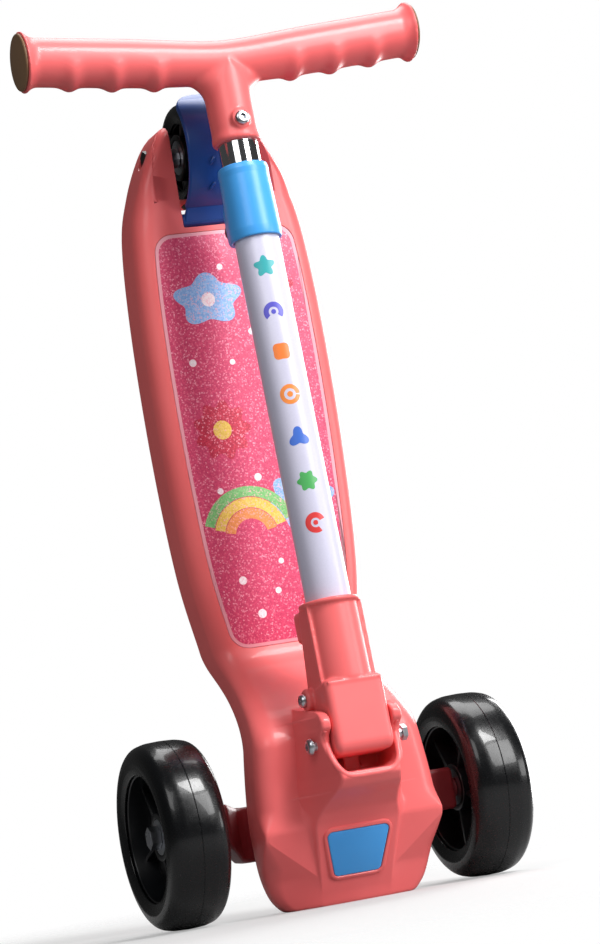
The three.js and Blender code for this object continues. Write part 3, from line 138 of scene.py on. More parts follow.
def rounded(points, radii, steps=6, closed=True):
    """Rounds the corners of lines (... x corners x 2) by circle arcs. Each corner gives way to the
    rational quadratic curve whose middle weight is the sine of half the corner's angle; its legs are
    the radius over the tangent of that half angle, and never more than half of the shorter side."""
    points = np.asarray(points, float)
    before, after = np.roll(points, 1, -2) - points, np.roll(points, -1, -2) - points
    len_a = np.maximum(np.linalg.norm(before, axis=-1, keepdims=True), 1e-9)
    len_b = np.maximum(np.linalg.norm(after, axis=-1, keepdims=True), 1e-9)
    before, after = before / len_a, after / len_b
    half = np.arccos(np.clip((before * after).sum(-1, keepdims=True), -1, 1)) / 2
    half = np.clip(half, 0.02, np.pi / 2 - 1e-4)
    radii = np.broadcast_to(np.asarray(radii, float), points.shape[:-1])[..., None]
    leg = np.minimum(radii / np.tan(half), 0.499 * np.minimum(len_a, len_b))
    if not closed:
        leg[..., [0, -1], :] = 0
    u = np.linspace(0, 1, steps)[:, None]
    weight = np.sin(half)[..., None, :]
    a, b, c = (1 - u) ** 2, 2 * u * (1 - u) * weight, u ** 2
    start, end = (points + before * leg)[..., None, :], (points + after * leg)[..., None, :]
    curve = (a * start + b * points[..., None, :] + c * end) / (a + b + c)
    return curve.reshape(*points.shape[:-2], -1, 2)


def looped(line):
    """A closed line with its first point repeated at its end."""
    return np.concatenate([line, line[:1]])


def smooth_step(low, high, value):
    """0 below low, 1 above high, and 3t2 - 2t3 between them."""
    t = np.clip((value - low) / (high - low), 0, 1)
    return t * t * (3 - 2 * t)


def spline(points, per=16):
    """A uniform Catmull-Rom curve through the points, per samples to each interval."""
    p = np.concatenate([points[:1], points, points[-1:]])
    t = np.linspace(0, 1, per, endpoint=False)[None, :, None]
    a, b, c, d = (p[i:len(p) - 3 + i, None, :] for i in range(4))
    square, cube = 2 * a - 5 * b + 4 * c - d, 3 * b - a - 3 * c + d
    curve = 0.5 * (2 * b + (c - a) * t + square * t ** 2 + cube * t ** 3)
    return np.concatenate([curve.reshape(-1, 2), points[-1:]])


def softened(z, table, reach):
    """Reads a table of [z, value] at the heights z and averages it over plus and minus reach."""
    table = np.asarray(table, float)
    offsets = np.linspace(-reach, reach, 9)
    weights = 1 + np.cos(np.linspace(-np.pi, np.pi, 9))
    values = np.interp(np.asarray(z)[..., None] + offsets, table[:, 0], table[:, 1])
    return (values * weights).sum(-1) / weights.sum()


outline = spline(outline_shares * [deck_length, deck_width / 2])


def deck_half(z):
    """Half the deck's width at height z."""
    return np.interp(z, outline[:, 0], outline[:, 1])


def tail_in(z):
    """How far the tail's tips are drawn in from front and back: a quarter circle, less a little."""
    climb = np.clip((np.asarray(z) - (deck_length - tip_radius)) / tip_radius, 0, 1)
    return tip_radius - tip_radius * np.sqrt(1 - 0.98 * climb ** 2)


def deck_share(z):
    """0 on the nose and 1 on the deck, with the S curve between them."""
    return smooth_step(step_foot, step_foot + step_length, z)


def deck_front(z):
    """The deck's front face: the chin leans back to the foot, a smooth step joins nose and deck, and
    the tail's tips are rounded off."""
    chin = chin_setback * np.maximum(0, 1 - np.asarray(z) / chin_height)
    return nose_front + chin + (deck_top - nose_front) * deck_share(z) + tail_in(z)


def deck_back(z):
    """The deck's open back rim."""
    return nose_back + (deck_bottom - nose_back) * deck_share(z) - tail_in(z)


# The head at each height: how far forward it stands, its half widths in front and at its root, and
# the half width of the pocket that the stem folds into
head_front = [
    [-9, -24.4], [0, -29.2], [48, -55], [56, -61.5], [62, -72], [68, -86.3], [73, -91.4],
    [80, -90.8], [87, -87], [96, -83.4], [101, -85], [104, -90], [109, -90.4], [113, -86],
    [115.5, -77], [116.5, -66], [117.2, -56], [118.5, -44], [121, -30], [124, 40],
]
head_half = [
    [0, 21.4], [48, 27.2], [56, 24.6], [64, 21.4], [70, 19.2], [74, 18.4], [80, 20.8], [86, 23],
    [95, 25], [104, 26], [110, 25.6], [115, 24.2], [118, 22.6], [124, 22.4],
]
root_half = [
    [0, 22.6], [40, 28], [56, 31], [66, 33.4], [80, 34], [95, 33], [104, 31], [111, 28],
    [116, 24.6], [118, 23], [130, 22.5],
]
pocket_half = [[70, 9], [76.2, 11], [77.4, 14.4], [79.2, 16.8], [84, 19], [90, 19.2], [120, 19.2]]


def crease_half(z):
    """Half the width of the nose's flat front, which the chin's two facets narrow towards the foot."""
    most = deck_half(z) - 2 - 22 * smooth_step(44, 62, z) + 12 * smooth_step(440, 490, z)
    return np.minimum(np.maximum(2 + 1.25 * z, softened(z, root_half, 5)), most)


def facet_depth(x, z):
    """How far a facet has fallen back from the flat front at x."""
    return facet_slope * np.maximum(np.abs(x) - crease_half(z), 0) * (1 - smooth_step(42, 48, z))


def deck_rings(z):
    """Closed rings of the shell, one for each height z: the outside from the middle of the front
    round to the back rim, then the inside back to the middle, and the same mirrored."""
    half, front, back = deck_half(z), deck_front(z), deck_back(z)
    step = deck_share(z)
    proud = np.minimum(softened(z, head_front, 2.0), front)
    narrow, root = softened(z, head_half, 5), np.minimum(softened(z, root_half, 5), crease_half(z))
    inside = softened(z, pocket_half, 0.6)
    reach = np.sqrt(np.maximum(bowl_radius ** 2 - np.minimum(z - pivot_z, 0) ** 2, 0))
    bowl = np.minimum(pivot_y + reach, front - 0.2)
    open_share = smooth_step(76.2, 78.2, z)
    floor = np.maximum(proud + (bowl - proud) * open_share, proud)
    track = 3.4 * smooth_step(79, 82, z) * (1 - smooth_step(96, 104, z))
    crease = crease_half(z)
    corner = front + facet_depth(half, z)
    solid = (z < wall) | (z > prong_start)
    curl = back_curl * (1 - step) * smooth_step(4, 44, z)
    lip = half - wall - curl
    lip_back = np.where(solid, back, back - wall)
    inner_side = np.where(solid, lip, half - wall)
    inner_crease = np.where(solid, lip, np.minimum(crease, half - wall - 1))
    inner_corner = np.where(solid, back, corner + wall)
    inner_front = np.where(solid, back, front + wall)
    radius = nose_corner + (deck_corner - nose_corner) * step
    radius = radius + (tail_corner - deck_corner) * smooth_step(438, 462, z)
    flat = np.zeros_like(z)
    corners = np.stack([np.stack(pair, -1) for pair in [
        (flat, floor + track), (flat + 6.2, floor + track), (flat + 6.7, floor), (inside, floor),
        (inside + 0.3, proud), (narrow, proud), (root, front), (crease, front), (half, corner),
        (half, back), (lip, back), (lip, lip_back), (inner_side, lip_back),
        (inner_side, inner_corner), (inner_crease, inner_front), (flat, inner_front),
    ]], 1)
    radii = np.stack([
        flat, flat + 0.4, flat + 0.4, flat + 1.5, flat + 1.6, flat + 2.4, 2 + 10 * smooth_step(30, 70, z),
        flat + 1.2, radius, 1.2 + 1.25 * curl, flat + 0.8, flat + 0.8, np.where(solid, 0, curl),
        np.where(solid, 0, radius - wall), flat, flat], 1)
    right = rounded(corners, radii, steps=9, closed=False)
    ring = np.concatenate([right, right[:, ::-1] * [-1, 1]], 1)
    ring = np.concatenate([ring, ring[:, :1]], 1)
    heights = np.broadcast_to(z[:, None, None], ring.shape[:2] + (1,))
    return np.concatenate([ring, heights], -1)


def edge_rows(low, high, radius, steps):
    """How far each row of a block is drawn in, and where it lies: a quarter circle at either end."""
    turn = np.linspace(0, np.pi / 2, steps)
    fall, climb = radius * (1 - np.sin(turn)), radius * (1 - np.cos(turn))
    return np.concatenate([fall, climb]), np.concatenate([low + climb, high - fall])


def rounded_box(x, y, z, radius, steps=5):
    """A block between the pairs x, y and z with its edges rounded: a rounded rectangle carried up Z,
    drawn in by a quarter circle at each end."""
    rings = []
    for inset, height in zip(*edge_rows(*z, radius, steps)):
        left, right, front, back = x[0] + inset, x[1] - inset, y[0] + inset, y[1] - inset
        square = [[left, front], [right, front], [right, back], [left, back]]
        ring = looped(rounded(square, max(radius - inset, 0.01), steps))
        rings.append(np.concatenate([ring, np.full((len(ring), 1), height)], 1))
    return np.stack(rings)


def slab(line, low, high, edge, axis, steps=4):
    """A plate whose closed outline is drawn in the plane square to axis. It runs from low to high and
    its two rims are rounded by edge: each row is the outline drawn in along its normals."""
    line = np.asarray(line, float)
    run = np.roll(line, -1, 0) - np.roll(line, 1, 0)
    length = np.maximum(np.linalg.norm(run, axis=1, keepdims=True), 1e-9)
    normal = np.stack([run[:, 1], -run[:, 0]], -1) / length
    area = (line[:, 0] * np.roll(line[:, 1], -1) - line[:, 1] * np.roll(line[:, 0], -1)).sum()
    normal *= np.sign(area)
    draw_in, levels = edge_rows(low, high, edge, steps)
    rings = line[None] - draw_in[:, None, None] * normal[None]
    rings = np.concatenate([rings, rings[:, :1]], 1)
    heights = np.broadcast_to(levels[:, None], rings.shape[:2])
    u, v = rings[..., 0], rings[..., 1]
    order = {"x": (heights, u, v), "y": (u, heights, v), "z": (u, v, heights)}[axis]
    return np.stack(order, -1)


def turned(axis, profile, steps=96, centre=(0, 0, 0)):
    """A surface of revolution: each profile point is [place along the axis, radius]."""
    profile = np.asarray(profile, float)
    angle = np.linspace(0, 2 * np.pi, steps + 1)
    along = np.broadcast_to(profile[:, :1], (len(profile), steps + 1))
    u, v = profile[:, 1:] * np.cos(angle), profile[:, 1:] * np.sin(angle)
    order = {"x": (along, u, v), "y": (v, along, u), "z": (u, v, along)}[axis]
    return np.stack(order, -1) + np.array(centre)


def rod(axis, low, high, radius, edge, corner_steps, steps=48, centre=(0, 0, 0)):
    """A round bar from low to high whose two rims are rounded by edge."""
    line = rounded([[low, 0], [low, radius], [high, radius], [high, 0]], edge, corner_steps, closed=False)
    return turned(axis, line, steps, centre)


def boolean_cut(piece, cutter):
    """Cuts one piece out of another for good and removes the cutter."""
    cut = piece.modifiers.new("cut", "BOOLEAN")
    cut.object, cut.operation, cut.solver, cut.use_self = cutter, "DIFFERENCE", "EXACT", True
    graph = bpy.context.evaluated_depsgraph_get()
    mesh = bpy.data.meshes.new_from_object(piece.evaluated_get(graph))
    piece.modifiers.clear()
    piece.data = mesh
    bpy.data.objects.remove(cutter)
    mesh.shade_smooth()
    mesh.set_sharp_from_angle(angle=np.radians(35))


# One ring every few millimetres, closer where the head's pocket and top turn fast
deck_heights = np.unique(np.concatenate([
    [0, 0.4, 1.2, 2.4, 2.99, 3.0], np.arange(4, 60, 2.0), np.arange(60, 76, 0.8), np.arange(76, 79, 0.3),
    np.arange(79, 114, 1.2), np.arange(114, 121, 0.4), np.arange(121, 180, 2.0),
    np.arange(180, prong_start, 4.0), [prong_start - 0.01, prong_start],
    np.arange(prong_start + 2, deck_length - 5, 3.0), deck_length - np.array([3, 1.4, 0.4, 0]),
]))
shell = deck_rings(deck_heights)


def end_round(depth, radius):
    """How far an end is drawn in at a depth short of its radius: a quarter circle."""
    short = np.maximum(radius - depth, 0)
    return np.where(short > 0, radius - np.sqrt(np.maximum(radius ** 2 - short ** 2, 0)), 0)


drawn_in = end_round(deck_heights, foot_radius) + end_round(deck_length - deck_heights, crown_radius)
scale = 1 - drawn_in / deck_half(deck_heights)
middle_y = ((deck_front(deck_heights) + deck_back(deck_heights)) / 2)[:, None]
shell[..., 0] *= scale[:, None]
shell[..., 1] = middle_y + (shell[..., 1] - middle_y) * scale[:, None]


def deck_ribs():
    """Flat ribs inside the shell: three along it and one across it at every rib pitch."""
    sheets = []
    for x in (-28, 0, 28):
        z = np.arange(2, 428, 4.0)
        front = deck_front(z) + 1.5 + facet_depth(abs(x) + 1.2, z)
        side = np.concatenate([np.stack([front, z], -1), np.stack([deck_back(z) - 3, z], -1)[::-1]])
        sheets.append(slab(side, x - rib_wall / 2, x + rib_wall / 2, 0.3, "x"))
    for z in np.arange(rib_pitch / 2, prong_start - 1, rib_pitch):
        half, back = deck_half(z) - 1.5, deck_back(z) - 3
        radius = nose_corner + (deck_corner - nose_corner) * deck_share(z)
        front, crease = deck_front(z) + 1.5, crease_half(z) - 1
        corner = front + facet_depth(half, z)
        curl = 1 + 2.7 * (radius - deck_corner) * smooth_step(4, 44, z)
        upper = [[-half, corner], [-crease, front], [crease, front], [half, corner]]
        face = rounded([*upper, [half, back], [-half, back]], [radius, 0, 0, radius, curl, curl], 9)
        sheets.append(slab(face, z - rib_wall / 2, z + rib_wall / 2, 0.3, "z"))
    return sheets


def mat_outline(grow):
    """Outline of the sheet in the deck: the deck's own outline drawn in, with round corners."""
    z = np.linspace(mat_foot - grow, mat_head + grow, 60)
    right = np.stack([deck_half(z) - mat_margin + grow, z], -1)[[0, *range(5, 55), 59]]
    radii = np.r_[mat_corner + grow, np.zeros(50), mat_corner + grow]
    return rounded(np.concatenate([right, right[::-1] * [-1, 1]]), np.r_[radii, radii], 9)


def swept(path, radius, steps=20):
    """A round bead along a path of points: circles square to the path, the first direction of each
    being the way forward out of the surface. Its ends are drawn in to round tips."""
    run = np.gradient(path, axis=0)
    run /= np.linalg.norm(run, axis=1, keepdims=True)
    out = np.array([0, -1.0, 0]) - run * -run[:, 1:2]
    out /= np.linalg.norm(out, axis=1, keepdims=True)
    aside = np.cross(run, out)
    share = np.linspace(0, 1, len(path))
    near_end = np.minimum(share, 1 - share) * len(path)
    size = radius * np.sqrt(1 - np.clip(1 - near_end / 3, 0, 1) ** 2)[:, None, None]
    angle = np.linspace(0, 2 * np.pi, steps + 1)[None, :, None]
    return path[:, None] + size * (np.cos(angle) * out[:, None] + np.sin(angle) * aside[:, None])


# A bead strengthens the pocket's lip. The well for the wheel and fender, the seat of the mat and the
# pockets of the rear axle's nuts are cut, and a boss behind the chin carries the kingpin.
lip_right = [[0, 74.0], [7, 74.0], [14.6, 75.0], [19.6, 80.4], [21.5, 88], [22.2, 96], [23.2, 104]]
lip_left = [[-x, z] for x, z in lip_right[:0:-1]]
lip_line = spline(np.array(lip_left + lip_right), 6)
lip_front = softened(lip_line[:, 1], head_front, 2.0)
lip_bead = swept(np.stack([lip_line[:, 0], lip_front + 1.7, lip_line[:, 1]], -1), 2.1)
boss = rod("y", -38, 1.4, 12.5, 0.6, 4)
deck_shell = skin("deck_shell", [placed(shell)])
well_right = [[43, 4], [39.5, 8], [25, 16.5], [25, 60]]
well_left = [[-x, y] for x, y in well_right[::-1]]
well = rounded(well_left + well_right, [0, 4, 3, 0, 0, 3, 4, 0], 7)
pocket_line = np.array([[nut_seat, 0], [nut_seat, nut_pocket], [70, nut_pocket], [70, 0]])
cutter = skin("cutter", [
    placed(slab(well, 448, 520, 0.01, "z")),
    placed(rounded_box((-25, 25), (-20, 61), (430, 521), 1.2)),
    placed(slab(mat_outline(0.3), 2, 9.6, 0.01, "y")),
    *(placed(turned("x", pocket_line * [side, 1], 40, (0, rear_y, rear_z))) for side in (1, -1)),
])
boolean_cut(deck_shell, cutter)
rib_sheets = [placed(sheet) for sheet in deck_ribs() + [lip_bead]]
rib_piece = skin("deck_ribs", rib_sheets + [placed(boss, (0, 0, 52), tilt)])


def linear(code):
    """An sRGB hex code as linear red, green, blue and alpha."""
    value = np.array([int(code[i:i + 2], 16) for i in (1, 3, 5)]) / 255
    low, high = value / 12.92, ((value + 0.055) / 1.055) ** 2.4
    return (*np.where(value <= 0.04045, low, high), 1.0)


def new_material(name):
    """An empty node material and its surface shader."""
    material = bpy.data.materials.new(name)
    material.use_nodes = True
    return material, material.node_tree.nodes["Principled BSDF"]


def add_node(material, kind, inputs=None, links=None, **settings):
    """Adds a node to a material or the world: settings are its properties, inputs its socket values
    and links the sockets that feed it."""
    node = material.node_tree.nodes.new(kind)
    for key, value in settings.items():
        setattr(node, key, value)
    for key, value in (inputs or {}).items():
        node.inputs[key].default_value = value
    for key, source in (links or {}).items():
        material.node_tree.links.new(source, node.inputs[key])
    return node


def join(material, source, target):
    """Links an output to a socket."""
    material.node_tree.links.new(source, target)


def moulded(name, base, deep, roughness=0.34, grain=2.5, coat=0.0, depth=0.02):
    """Injection moulded plastic: the colour drifts a little through the wall, and the polished mould
    leaves a faint orange peel a few millimetres wide in the gloss."""
    material, shader = new_material(name)
    place = add_node(material, "ShaderNodeTexCoord").outputs["Object"]
    drift = add_node(material, "ShaderNodeTexNoise", {"Scale": 14.0, "Detail": 3.0}, {"Vector": place})
    tone = add_node(material, "ShaderNodeValToRGB", links={"Fac": drift.outputs["Fac"]})
    tone.color_ramp.elements[0].position, tone.color_ramp.elements[1].position = 0.3, 0.7
    tone.color_ramp.elements[0].color, tone.color_ramp.elements[1].color = linear(deep), linear(base)
    join(material, tone.outputs["Color"], shader.inputs["Base Color"])
    peel = add_node(material, "ShaderNodeTexNoise", {"Scale": 1000 / grain, "Detail": 2.0}, {"Vector": place})
    gloss = add_node(material, "ShaderNodeMapRange", {"To Min": roughness - 0.05, "To Max": roughness + 0.06},
                     {"Value": peel.outputs["Fac"]})
    join(material, gloss.outputs["Result"], shader.inputs["Roughness"])
    bump = add_node(material, "ShaderNodeBump", {"Strength": 0.25, "Distance": depth / 1000},
                    {"Height": peel.outputs["Fac"]})
    join(material, bump.outputs["Normal"], shader.inputs["Normal"])
    shader.inputs["IOR"].default_value = 1.5
    shader.inputs["Coat Weight"].default_value = coat
    return material


def dress(piece, material, body, node):
    """Gives a piece its material, the body that it rides on and the node that it replaces."""
    piece.data.materials.append(material)
    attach(piece, body)
    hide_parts(node)


# Coral polypropylene from a polished mould: a wide soft sheen with a faint sharper gloss over it
coral = moulded("polypropylene coral, glossy moulding", "#f26e6e", "#ed6667", 0.4, coat=0.12)
for piece in (deck_shell, rib_piece):
    dress(piece, coral, "deck", "deck_body")


# Sheet on the deck: a thin plate glued into its seat in the moulding, pale at its rim, with a glitter
# print laminated on it. The print has large plain shapes only, each a thin foil of its own colour.
def glitter(name, base, deep, flake_width=0.8):
    """Printed foil with glitter: flakes flake_width millimetres wide, each turned its own way."""
    material, shader = new_material(name)
    place = add_node(material, "ShaderNodeTexCoord").outputs["Object"]
    flake = add_node(material, "ShaderNodeTexVoronoi", {"Scale": 1000 / flake_width}, {"Vector": place},
                     feature="F1")
    tone = add_node(material, "ShaderNodeValToRGB", links={"Fac": flake.outputs["Color"]})
    tone.color_ramp.elements[0].position, tone.color_ramp.elements[1].position = 0.2, 0.7
    tone.color_ramp.elements[0].color, tone.color_ramp.elements[1].color = linear(deep), linear(base)
    # The palest flakes are painted highlights: above this point of the ramp each takes a fixed pale pink
    # glint as its colour, on every foil alike
    painted_glint = tone.color_ramp.elements.new(0.95)
    painted_glint.color = linear("#f6a9bb")
    join(material, tone.outputs["Color"], shader.inputs["Base Color"])
    bump = add_node(material, "ShaderNodeBump", {"Strength": 0.22, "Distance": 0.0003},
                    {"Height": flake.outputs["Color"]})
    join(material, bump.outputs["Normal"], shader.inputs["Normal"])
    shader.inputs["Roughness"].default_value = 0.36
    return material


def lobed(centre, radius, share, lobes, turn=0.0, wide=1.0):
    """A thin closed patch round centre whose radius swings by share of itself, lobes times a turn. Its
    face is at depth -1 and its back at 1; each row is the outline drawn in to a share of itself."""
    angle = np.linspace(0, 2 * np.pi, 73)
    reach = radius * (1 + share * np.cos(lobes * (angle - turn)))
    rows = np.array([0, 0.25, 0.5, 0.75, 1, 1, 0])[:, None]
    depth = np.broadcast_to(np.array([-1, -1, -1, -1, -1, 1, 1])[:, None], (7, 73))
    x = centre[0] + wide * rows * reach * np.cos(angle)
    return np.stack([x, depth, centre[1] + rows * reach * np.sin(angle)], -1)


def bow(centre, radius, width, start, end):
    """A thin band bent round centre, from start to end in degrees: its flat section, across its face
    and back again, carried round the arc."""
    angle = np.radians(np.linspace(start, end, 40))[:, None]
    across_share = np.array([-1, -0.5, 0, 0.5, 1, 1, -1, -1])
    depth = np.broadcast_to(np.array([-1, -1, -1, -1, -1, 1, 1, -1]), (40, 8))
    reach = radius + width / 2 * across_share
    return np.stack([centre[0] + reach * np.cos(angle), depth, centre[1] + reach * np.sin(angle)], -1)


# The border is plain printed foil, evenly pale; the glitter in the foils on it sparkles in points, from
# flakes that the bump tilts each its own way and from pale flakes that are painted highlights
mat_plate = skin("mat_plate", [placed(slab(mat_outline(0), 8.1, 9.3, 0.25, "y"))])
border = moulded("printed foil, pale pink border", "#f3a9b4", "#eb9aa7", 0.4)
dress(mat_plate, border, "deck", "deck_mat")
mat_print = skin("mat_print", [placed(slab(mat_outline(-2.2), 8.02, 8.4, 0.1, "y"))])
dress(mat_print, glitter("glitter foil print, pink", "#e04c74", "#cb3a62"), "deck", "deck_mat")
dots = [
    (-34, 344, 2.4), (-8, 342, 1.8), (-30, 262, 2.0), (-4, 268, 2.4), (-25, 205, 2.6), (-3, 196, 2.0),
    (-16, 183, 2.8), (-6, 403, 2.0), (-17, 383, 4.5), (8, 360, 2.2), (34, 290, 2.2), (2, 214, 1.8),
]
prints = [
    ("rose", "#d8324f", "#b81f3e", [
        lobed((-22, 300), 17, 0.13, 9), lobed((31, 388), 9, 0.13, 7), lobed((20, 186), 9, 0.13, 7)]),
    ("cloud", "#9fc3ee", "#7aa6e0", [
        lobed((-17, 383), 15, 0.16, 5, 0.3, 1.35), lobed((22, 250), 17, 0.14, 6, 0.2, 1.2)]),
    ("sun", "#f3cf62", "#e3b344", [
        bow((-14, 232), 21, 6.5, 15, 165), lobed((-22, 300), 6, 0.0, 1), lobed((24, 330), 8, 0.2, 5)]),
    ("orange", "#f39a55", "#e58544", [bow((-14, 232), 14, 6.5, 12, 168)]),
    ("green", "#8cc980", "#6db665", [bow((-14, 232), 28, 6.5, 18, 162)]),
    ("white", "#fff2f5", "#f7d9e0", [lobed((x, z), radius, 0.0, 1) for x, z, radius in dots]),
]
foil, foil_step = 0.03, 0.01
for layer, (name, base, deep, lines) in enumerate(prints):
    lift = [0, deck_top - foil_step * layer, 0]
    motif = skin(f"print_{name}", [placed(line * [1, foil, 1] + lift) for line in lines])
    dress(motif, glitter(f"glitter foil print, {name}", base, deep), "deck", "deck_mat")

# Nose plate, a blank badge moulded in sky blue plastic and pressed into a raised frame on the chin. It
# covers the head of the bolt that the steering turns on.
plate_middle, plate_height = 30.3, 30
plate_foot_half, plate_head_half = 14.8, 20.5
chin_at = (0, nose_front - 5 + (chin_height - plate_middle) * np.tan(np.radians(tilt)), plate_middle)


def plate_outline(grow):
    """A trapezium with round corners, grown on every side."""
    half, foot, head = plate_height / 2 + grow, plate_foot_half + grow, plate_head_half + grow
    return rounded([[-foot, -half], [foot, -half], [head, half], [-head, half]], 3.2 + grow, 6)


def plate_frame():
    """The frame round the plate: its section, a rounded ridge, carried round the plate's outline."""
    rows = []
    ridge = [
        (0.3, 1), (0.3, -0.9), (0.7, -1.35), (1.5, -1.35), (2.4, -1), (3.2, 0.2), (3.4, 1), (0.3, 1),
    ]
    for grow, height in ridge:
        line = looped(plate_outline(grow))
        rows.append(np.stack([line[:, 0], np.full(len(line), height), line[:, 1]], -1))
    return np.stack(rows)


nose_plate = skin("nose_plate_cover", [placed(slab(plate_outline(0), -1.1, 1.3, 0.5, "y"), chin_at, tilt)])
nose_frame = skin("nose_plate_frame", [placed(plate_frame(), chin_at, tilt)])
# Sky blue polypropylene from a mould with a brighter polish: its highlights are small and clear
sky = moulded("polypropylene sky blue, glossy moulding", "#4aa6ee", "#3f9be6", 0.3)
dress(nose_plate, sky, "deck", "nose_plate")
nose_frame.data.materials.append(coral)
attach(nose_frame, "deck")

# Front wheels, one on each arm of the steering bridge: a smooth black tyre cast round a moulded hub,
# which has five webs between its barrel and its rim and a ball bearing in each end.
wheel_radius, wheel_half, rim_radius, half_track = 57.5, 20, 41.5, 99
tread_clearance, web_count = 0.12, 5
# Cast polyurethane mirrors the lamps as soft bands; the nylon of the hub is a shade lighter and duller
black_tyre = moulded("polyurethane tyre, smooth black", "#08090b", "#050608", 0.26, 3.0, 0.25, 0.01)
black_tyre.node_tree.nodes["Principled BSDF"].inputs["Specular IOR Level"].default_value = 0.35
black_hub = moulded("nylon hub, black moulding", "#121316", "#0c0d10", 0.3)


def tyre_profile(radius, half, rim, seat):
    """Tread and side walls of a tyre: a flat tread that falls off in a round shoulder, with a fine
    parting line at its middle, tucked in to the lips that hold the rim."""
    crown = radius - rim
    outer = np.array([
        [seat, rim + 0.3], [seat, rim - 2.3], [half - 2.2, rim - 2.5], [half - 0.9, rim + crown * 0.08],
        [half, rim + crown * 0.3], [half * 0.95, rim + crown * 0.62], [half * 0.78, rim + crown * 0.87],
        [half * 0.45, rim + crown * 0.975], [0.35, radius - 0.05], [0, radius - 0.35],
    ])
    radii = [0.2, 0.8, 0.8, 3, 5, 8, 12, 20, 0.05]
    line = np.concatenate([outer, outer[-2::-1] * [-1, 1]])
    return rounded(line, [*radii, 0.05, *radii[::-1]], 6)


def hoop(axis, inner, outer, low, high, edge, steps=96):
    """A round tube from low to high with rounded rims."""
    line = rounded([[low, inner], [low, outer], [high, outer], [high, inner]], edge, 4)
    return turned(axis, looped(line), steps)


def hub_sheets(rim, wall_rim, half_rim, start, end):
    """Barrel, middle disc, rim ring and radial webs of a hub whose barrel runs from start to end."""
    sheets = [
        hoop("x", 11.3, 14.8, start, end, 0.6), hoop("x", 9.5, 12, start + 7.6, end - 7.6, 0.3),
        hoop("x", 13, rim - 1, -1.8, 1.8, 0.3), hoop("x", rim - wall_rim, rim, -half_rim, half_rim, 0.8),
    ]
    for i in range(web_count):
        box = rounded_box((start + 1.2, end - 1.2), (-1.3, 1.3), (13.5, rim - wall_rim + 0.5), 0.4, 3)
        angle = 2 * np.pi * (i + 0.5) / web_count
        c, s = np.cos(angle), np.sin(angle)
        x, y, z = np.moveaxis(box, -1, 0)
        sheets.append(np.stack([x, c * y - s * z, s * y + c * z], -1))
    return sheets


def fit_wheel(name, centre, body, tyre_node, tyre_size, steps, hub_node, hub_size):
    """Builds a tyre and a hub round centre, both riding on the wheel's body."""
    tyre = skin(f"tyre_{name}", [placed(turned("x", looped(tyre_profile(*tyre_size)), steps), centre)], 50)
    dress(tyre, black_tyre, body, tyre_node)
    hub = skin(f"hub_{name}", [placed(sheet, centre) for sheet in hub_sheets(*hub_size)])
    dress(hub, black_hub, body, hub_node)


tyre_size = (wheel_radius - tread_clearance, wheel_half - 0.05, rim_radius, 16.3)
for name, side in (("left", -1), ("right", 1)):
    barrel_ends = (-12, 9.3) if side > 0 else (-9.3, 12)
    fit_wheel(name, (side * half_track, 0, wheel_radius), f"wheel_{name}", f"front_tyre_{name}", tyre_size,
              160, f"front_hub_{name}", (rim_radius, 3.5, 16, *barrel_ends))

# Rear wheel, between the two prongs of the deck's tail: the same construction, smaller, with a longer
# barrel that turns between two spacers on the axle bolt.
fit_wheel("rear", (0, rear_y, rear_z), "rear_wheel", "rear_tyre", (34.85, 18, 24, 14.3), 120, "rear_hub",
          (24, 3, 14, -17, 17))

# Fender over the rear wheel, one moulding in navy plastic, hinged on a pin at its foot and held up by
# a spring: pressed down on the tyre it is the brake.
fender_inner, fender_outer, fender_half, fender_corner = 38.8, 41.8, 22.5, 17
fender_foot, fender_head = np.radians([-65, 60])
hinge_y, hinge_z = 13, 435.2
# Polished polypropylene, dark enough for the lamps to stand out on its crown
navy = moulded("polypropylene navy, glossy moulding", "#2450a0", "#1d4289", 0.3)


def fender_sheet():
    """The fender's section, a flat arch with round rims, carried round the wheel's axle."""
    angle = np.radians(np.concatenate([np.linspace(-65, 34, 46), np.linspace(35, 59.6, 30)]))
    inner, outer, half, corner = fender_inner, fender_outer, fender_half, fender_corner
    past = np.clip(corner - outer * (fender_head - angle), 0, corner - 0.2)
    drawn_in = corner - np.sqrt(corner ** 2 - past ** 2)
    section = looped(rounded([[-half, inner], [half, inner], [half, outer], [-half, outer]], 1.3, 6))
    rim = np.sqrt(np.clip(1 - ((np.abs(section[:, 0]) - 12) / 10.5).clip(0) ** 2, 0.0, 1))
    radius = section[:, 1][None] - 2.0 * (1 - rim[None])
    y = rear_y - radius * np.cos(angle)[:, None]
    z = rear_z + radius * np.sin(angle)[:, None]
    return np.stack([section[:, 0] * (1 - drawn_in[:, None] / half), y, z], -1)


def fender_neck():
    """The fender's foot: its last section drawn down to the hinge barrel."""
    reach = (fender_inner + fender_outer) / 2
    start = np.array([rear_y - reach * np.cos(fender_foot), rear_z + reach * np.sin(fender_foot)])
    rows = []
    for share in np.linspace(0, 1, 8):
        middle = start * (1 - share) + np.array([hinge_y, hinge_z - 1.8]) * share
        depth, half = 1.4 + 2.9 * share, 22.4 + 1.0 * share
        line = looped(rounded([[-half, -depth], [half, -depth], [half, depth], [-half, depth]], 1.2, 5))
        rows.append(np.stack([line[:, 0], middle[0] + line[:, 1], np.full(len(line), middle[1])], -1))
    return np.stack(rows)


# Two short raised strokes stand on its crown, left of the middle
barrel = rod("x", -24.4, 24.4, 4.4, 0.5, 4, centre=(0, hinge_y, hinge_z))
fender_sheets = [fender_sheet(), fender_neck(), barrel]
for middle_angle in (-17, -40):
    angle = np.radians(middle_angle + np.linspace(-4, 4, 9))
    y, z = rear_y - 41.6 * np.cos(angle), rear_z + 41.6 * np.sin(angle)
    fender_sheets.append(swept(np.stack([np.linspace(-9.6, -6, 9), y, z], -1), 0.9, 12))
fender = skin("fender", [placed(sheet) for sheet in fender_sheets])
dress(fender, navy, "fender", "rear_fender")

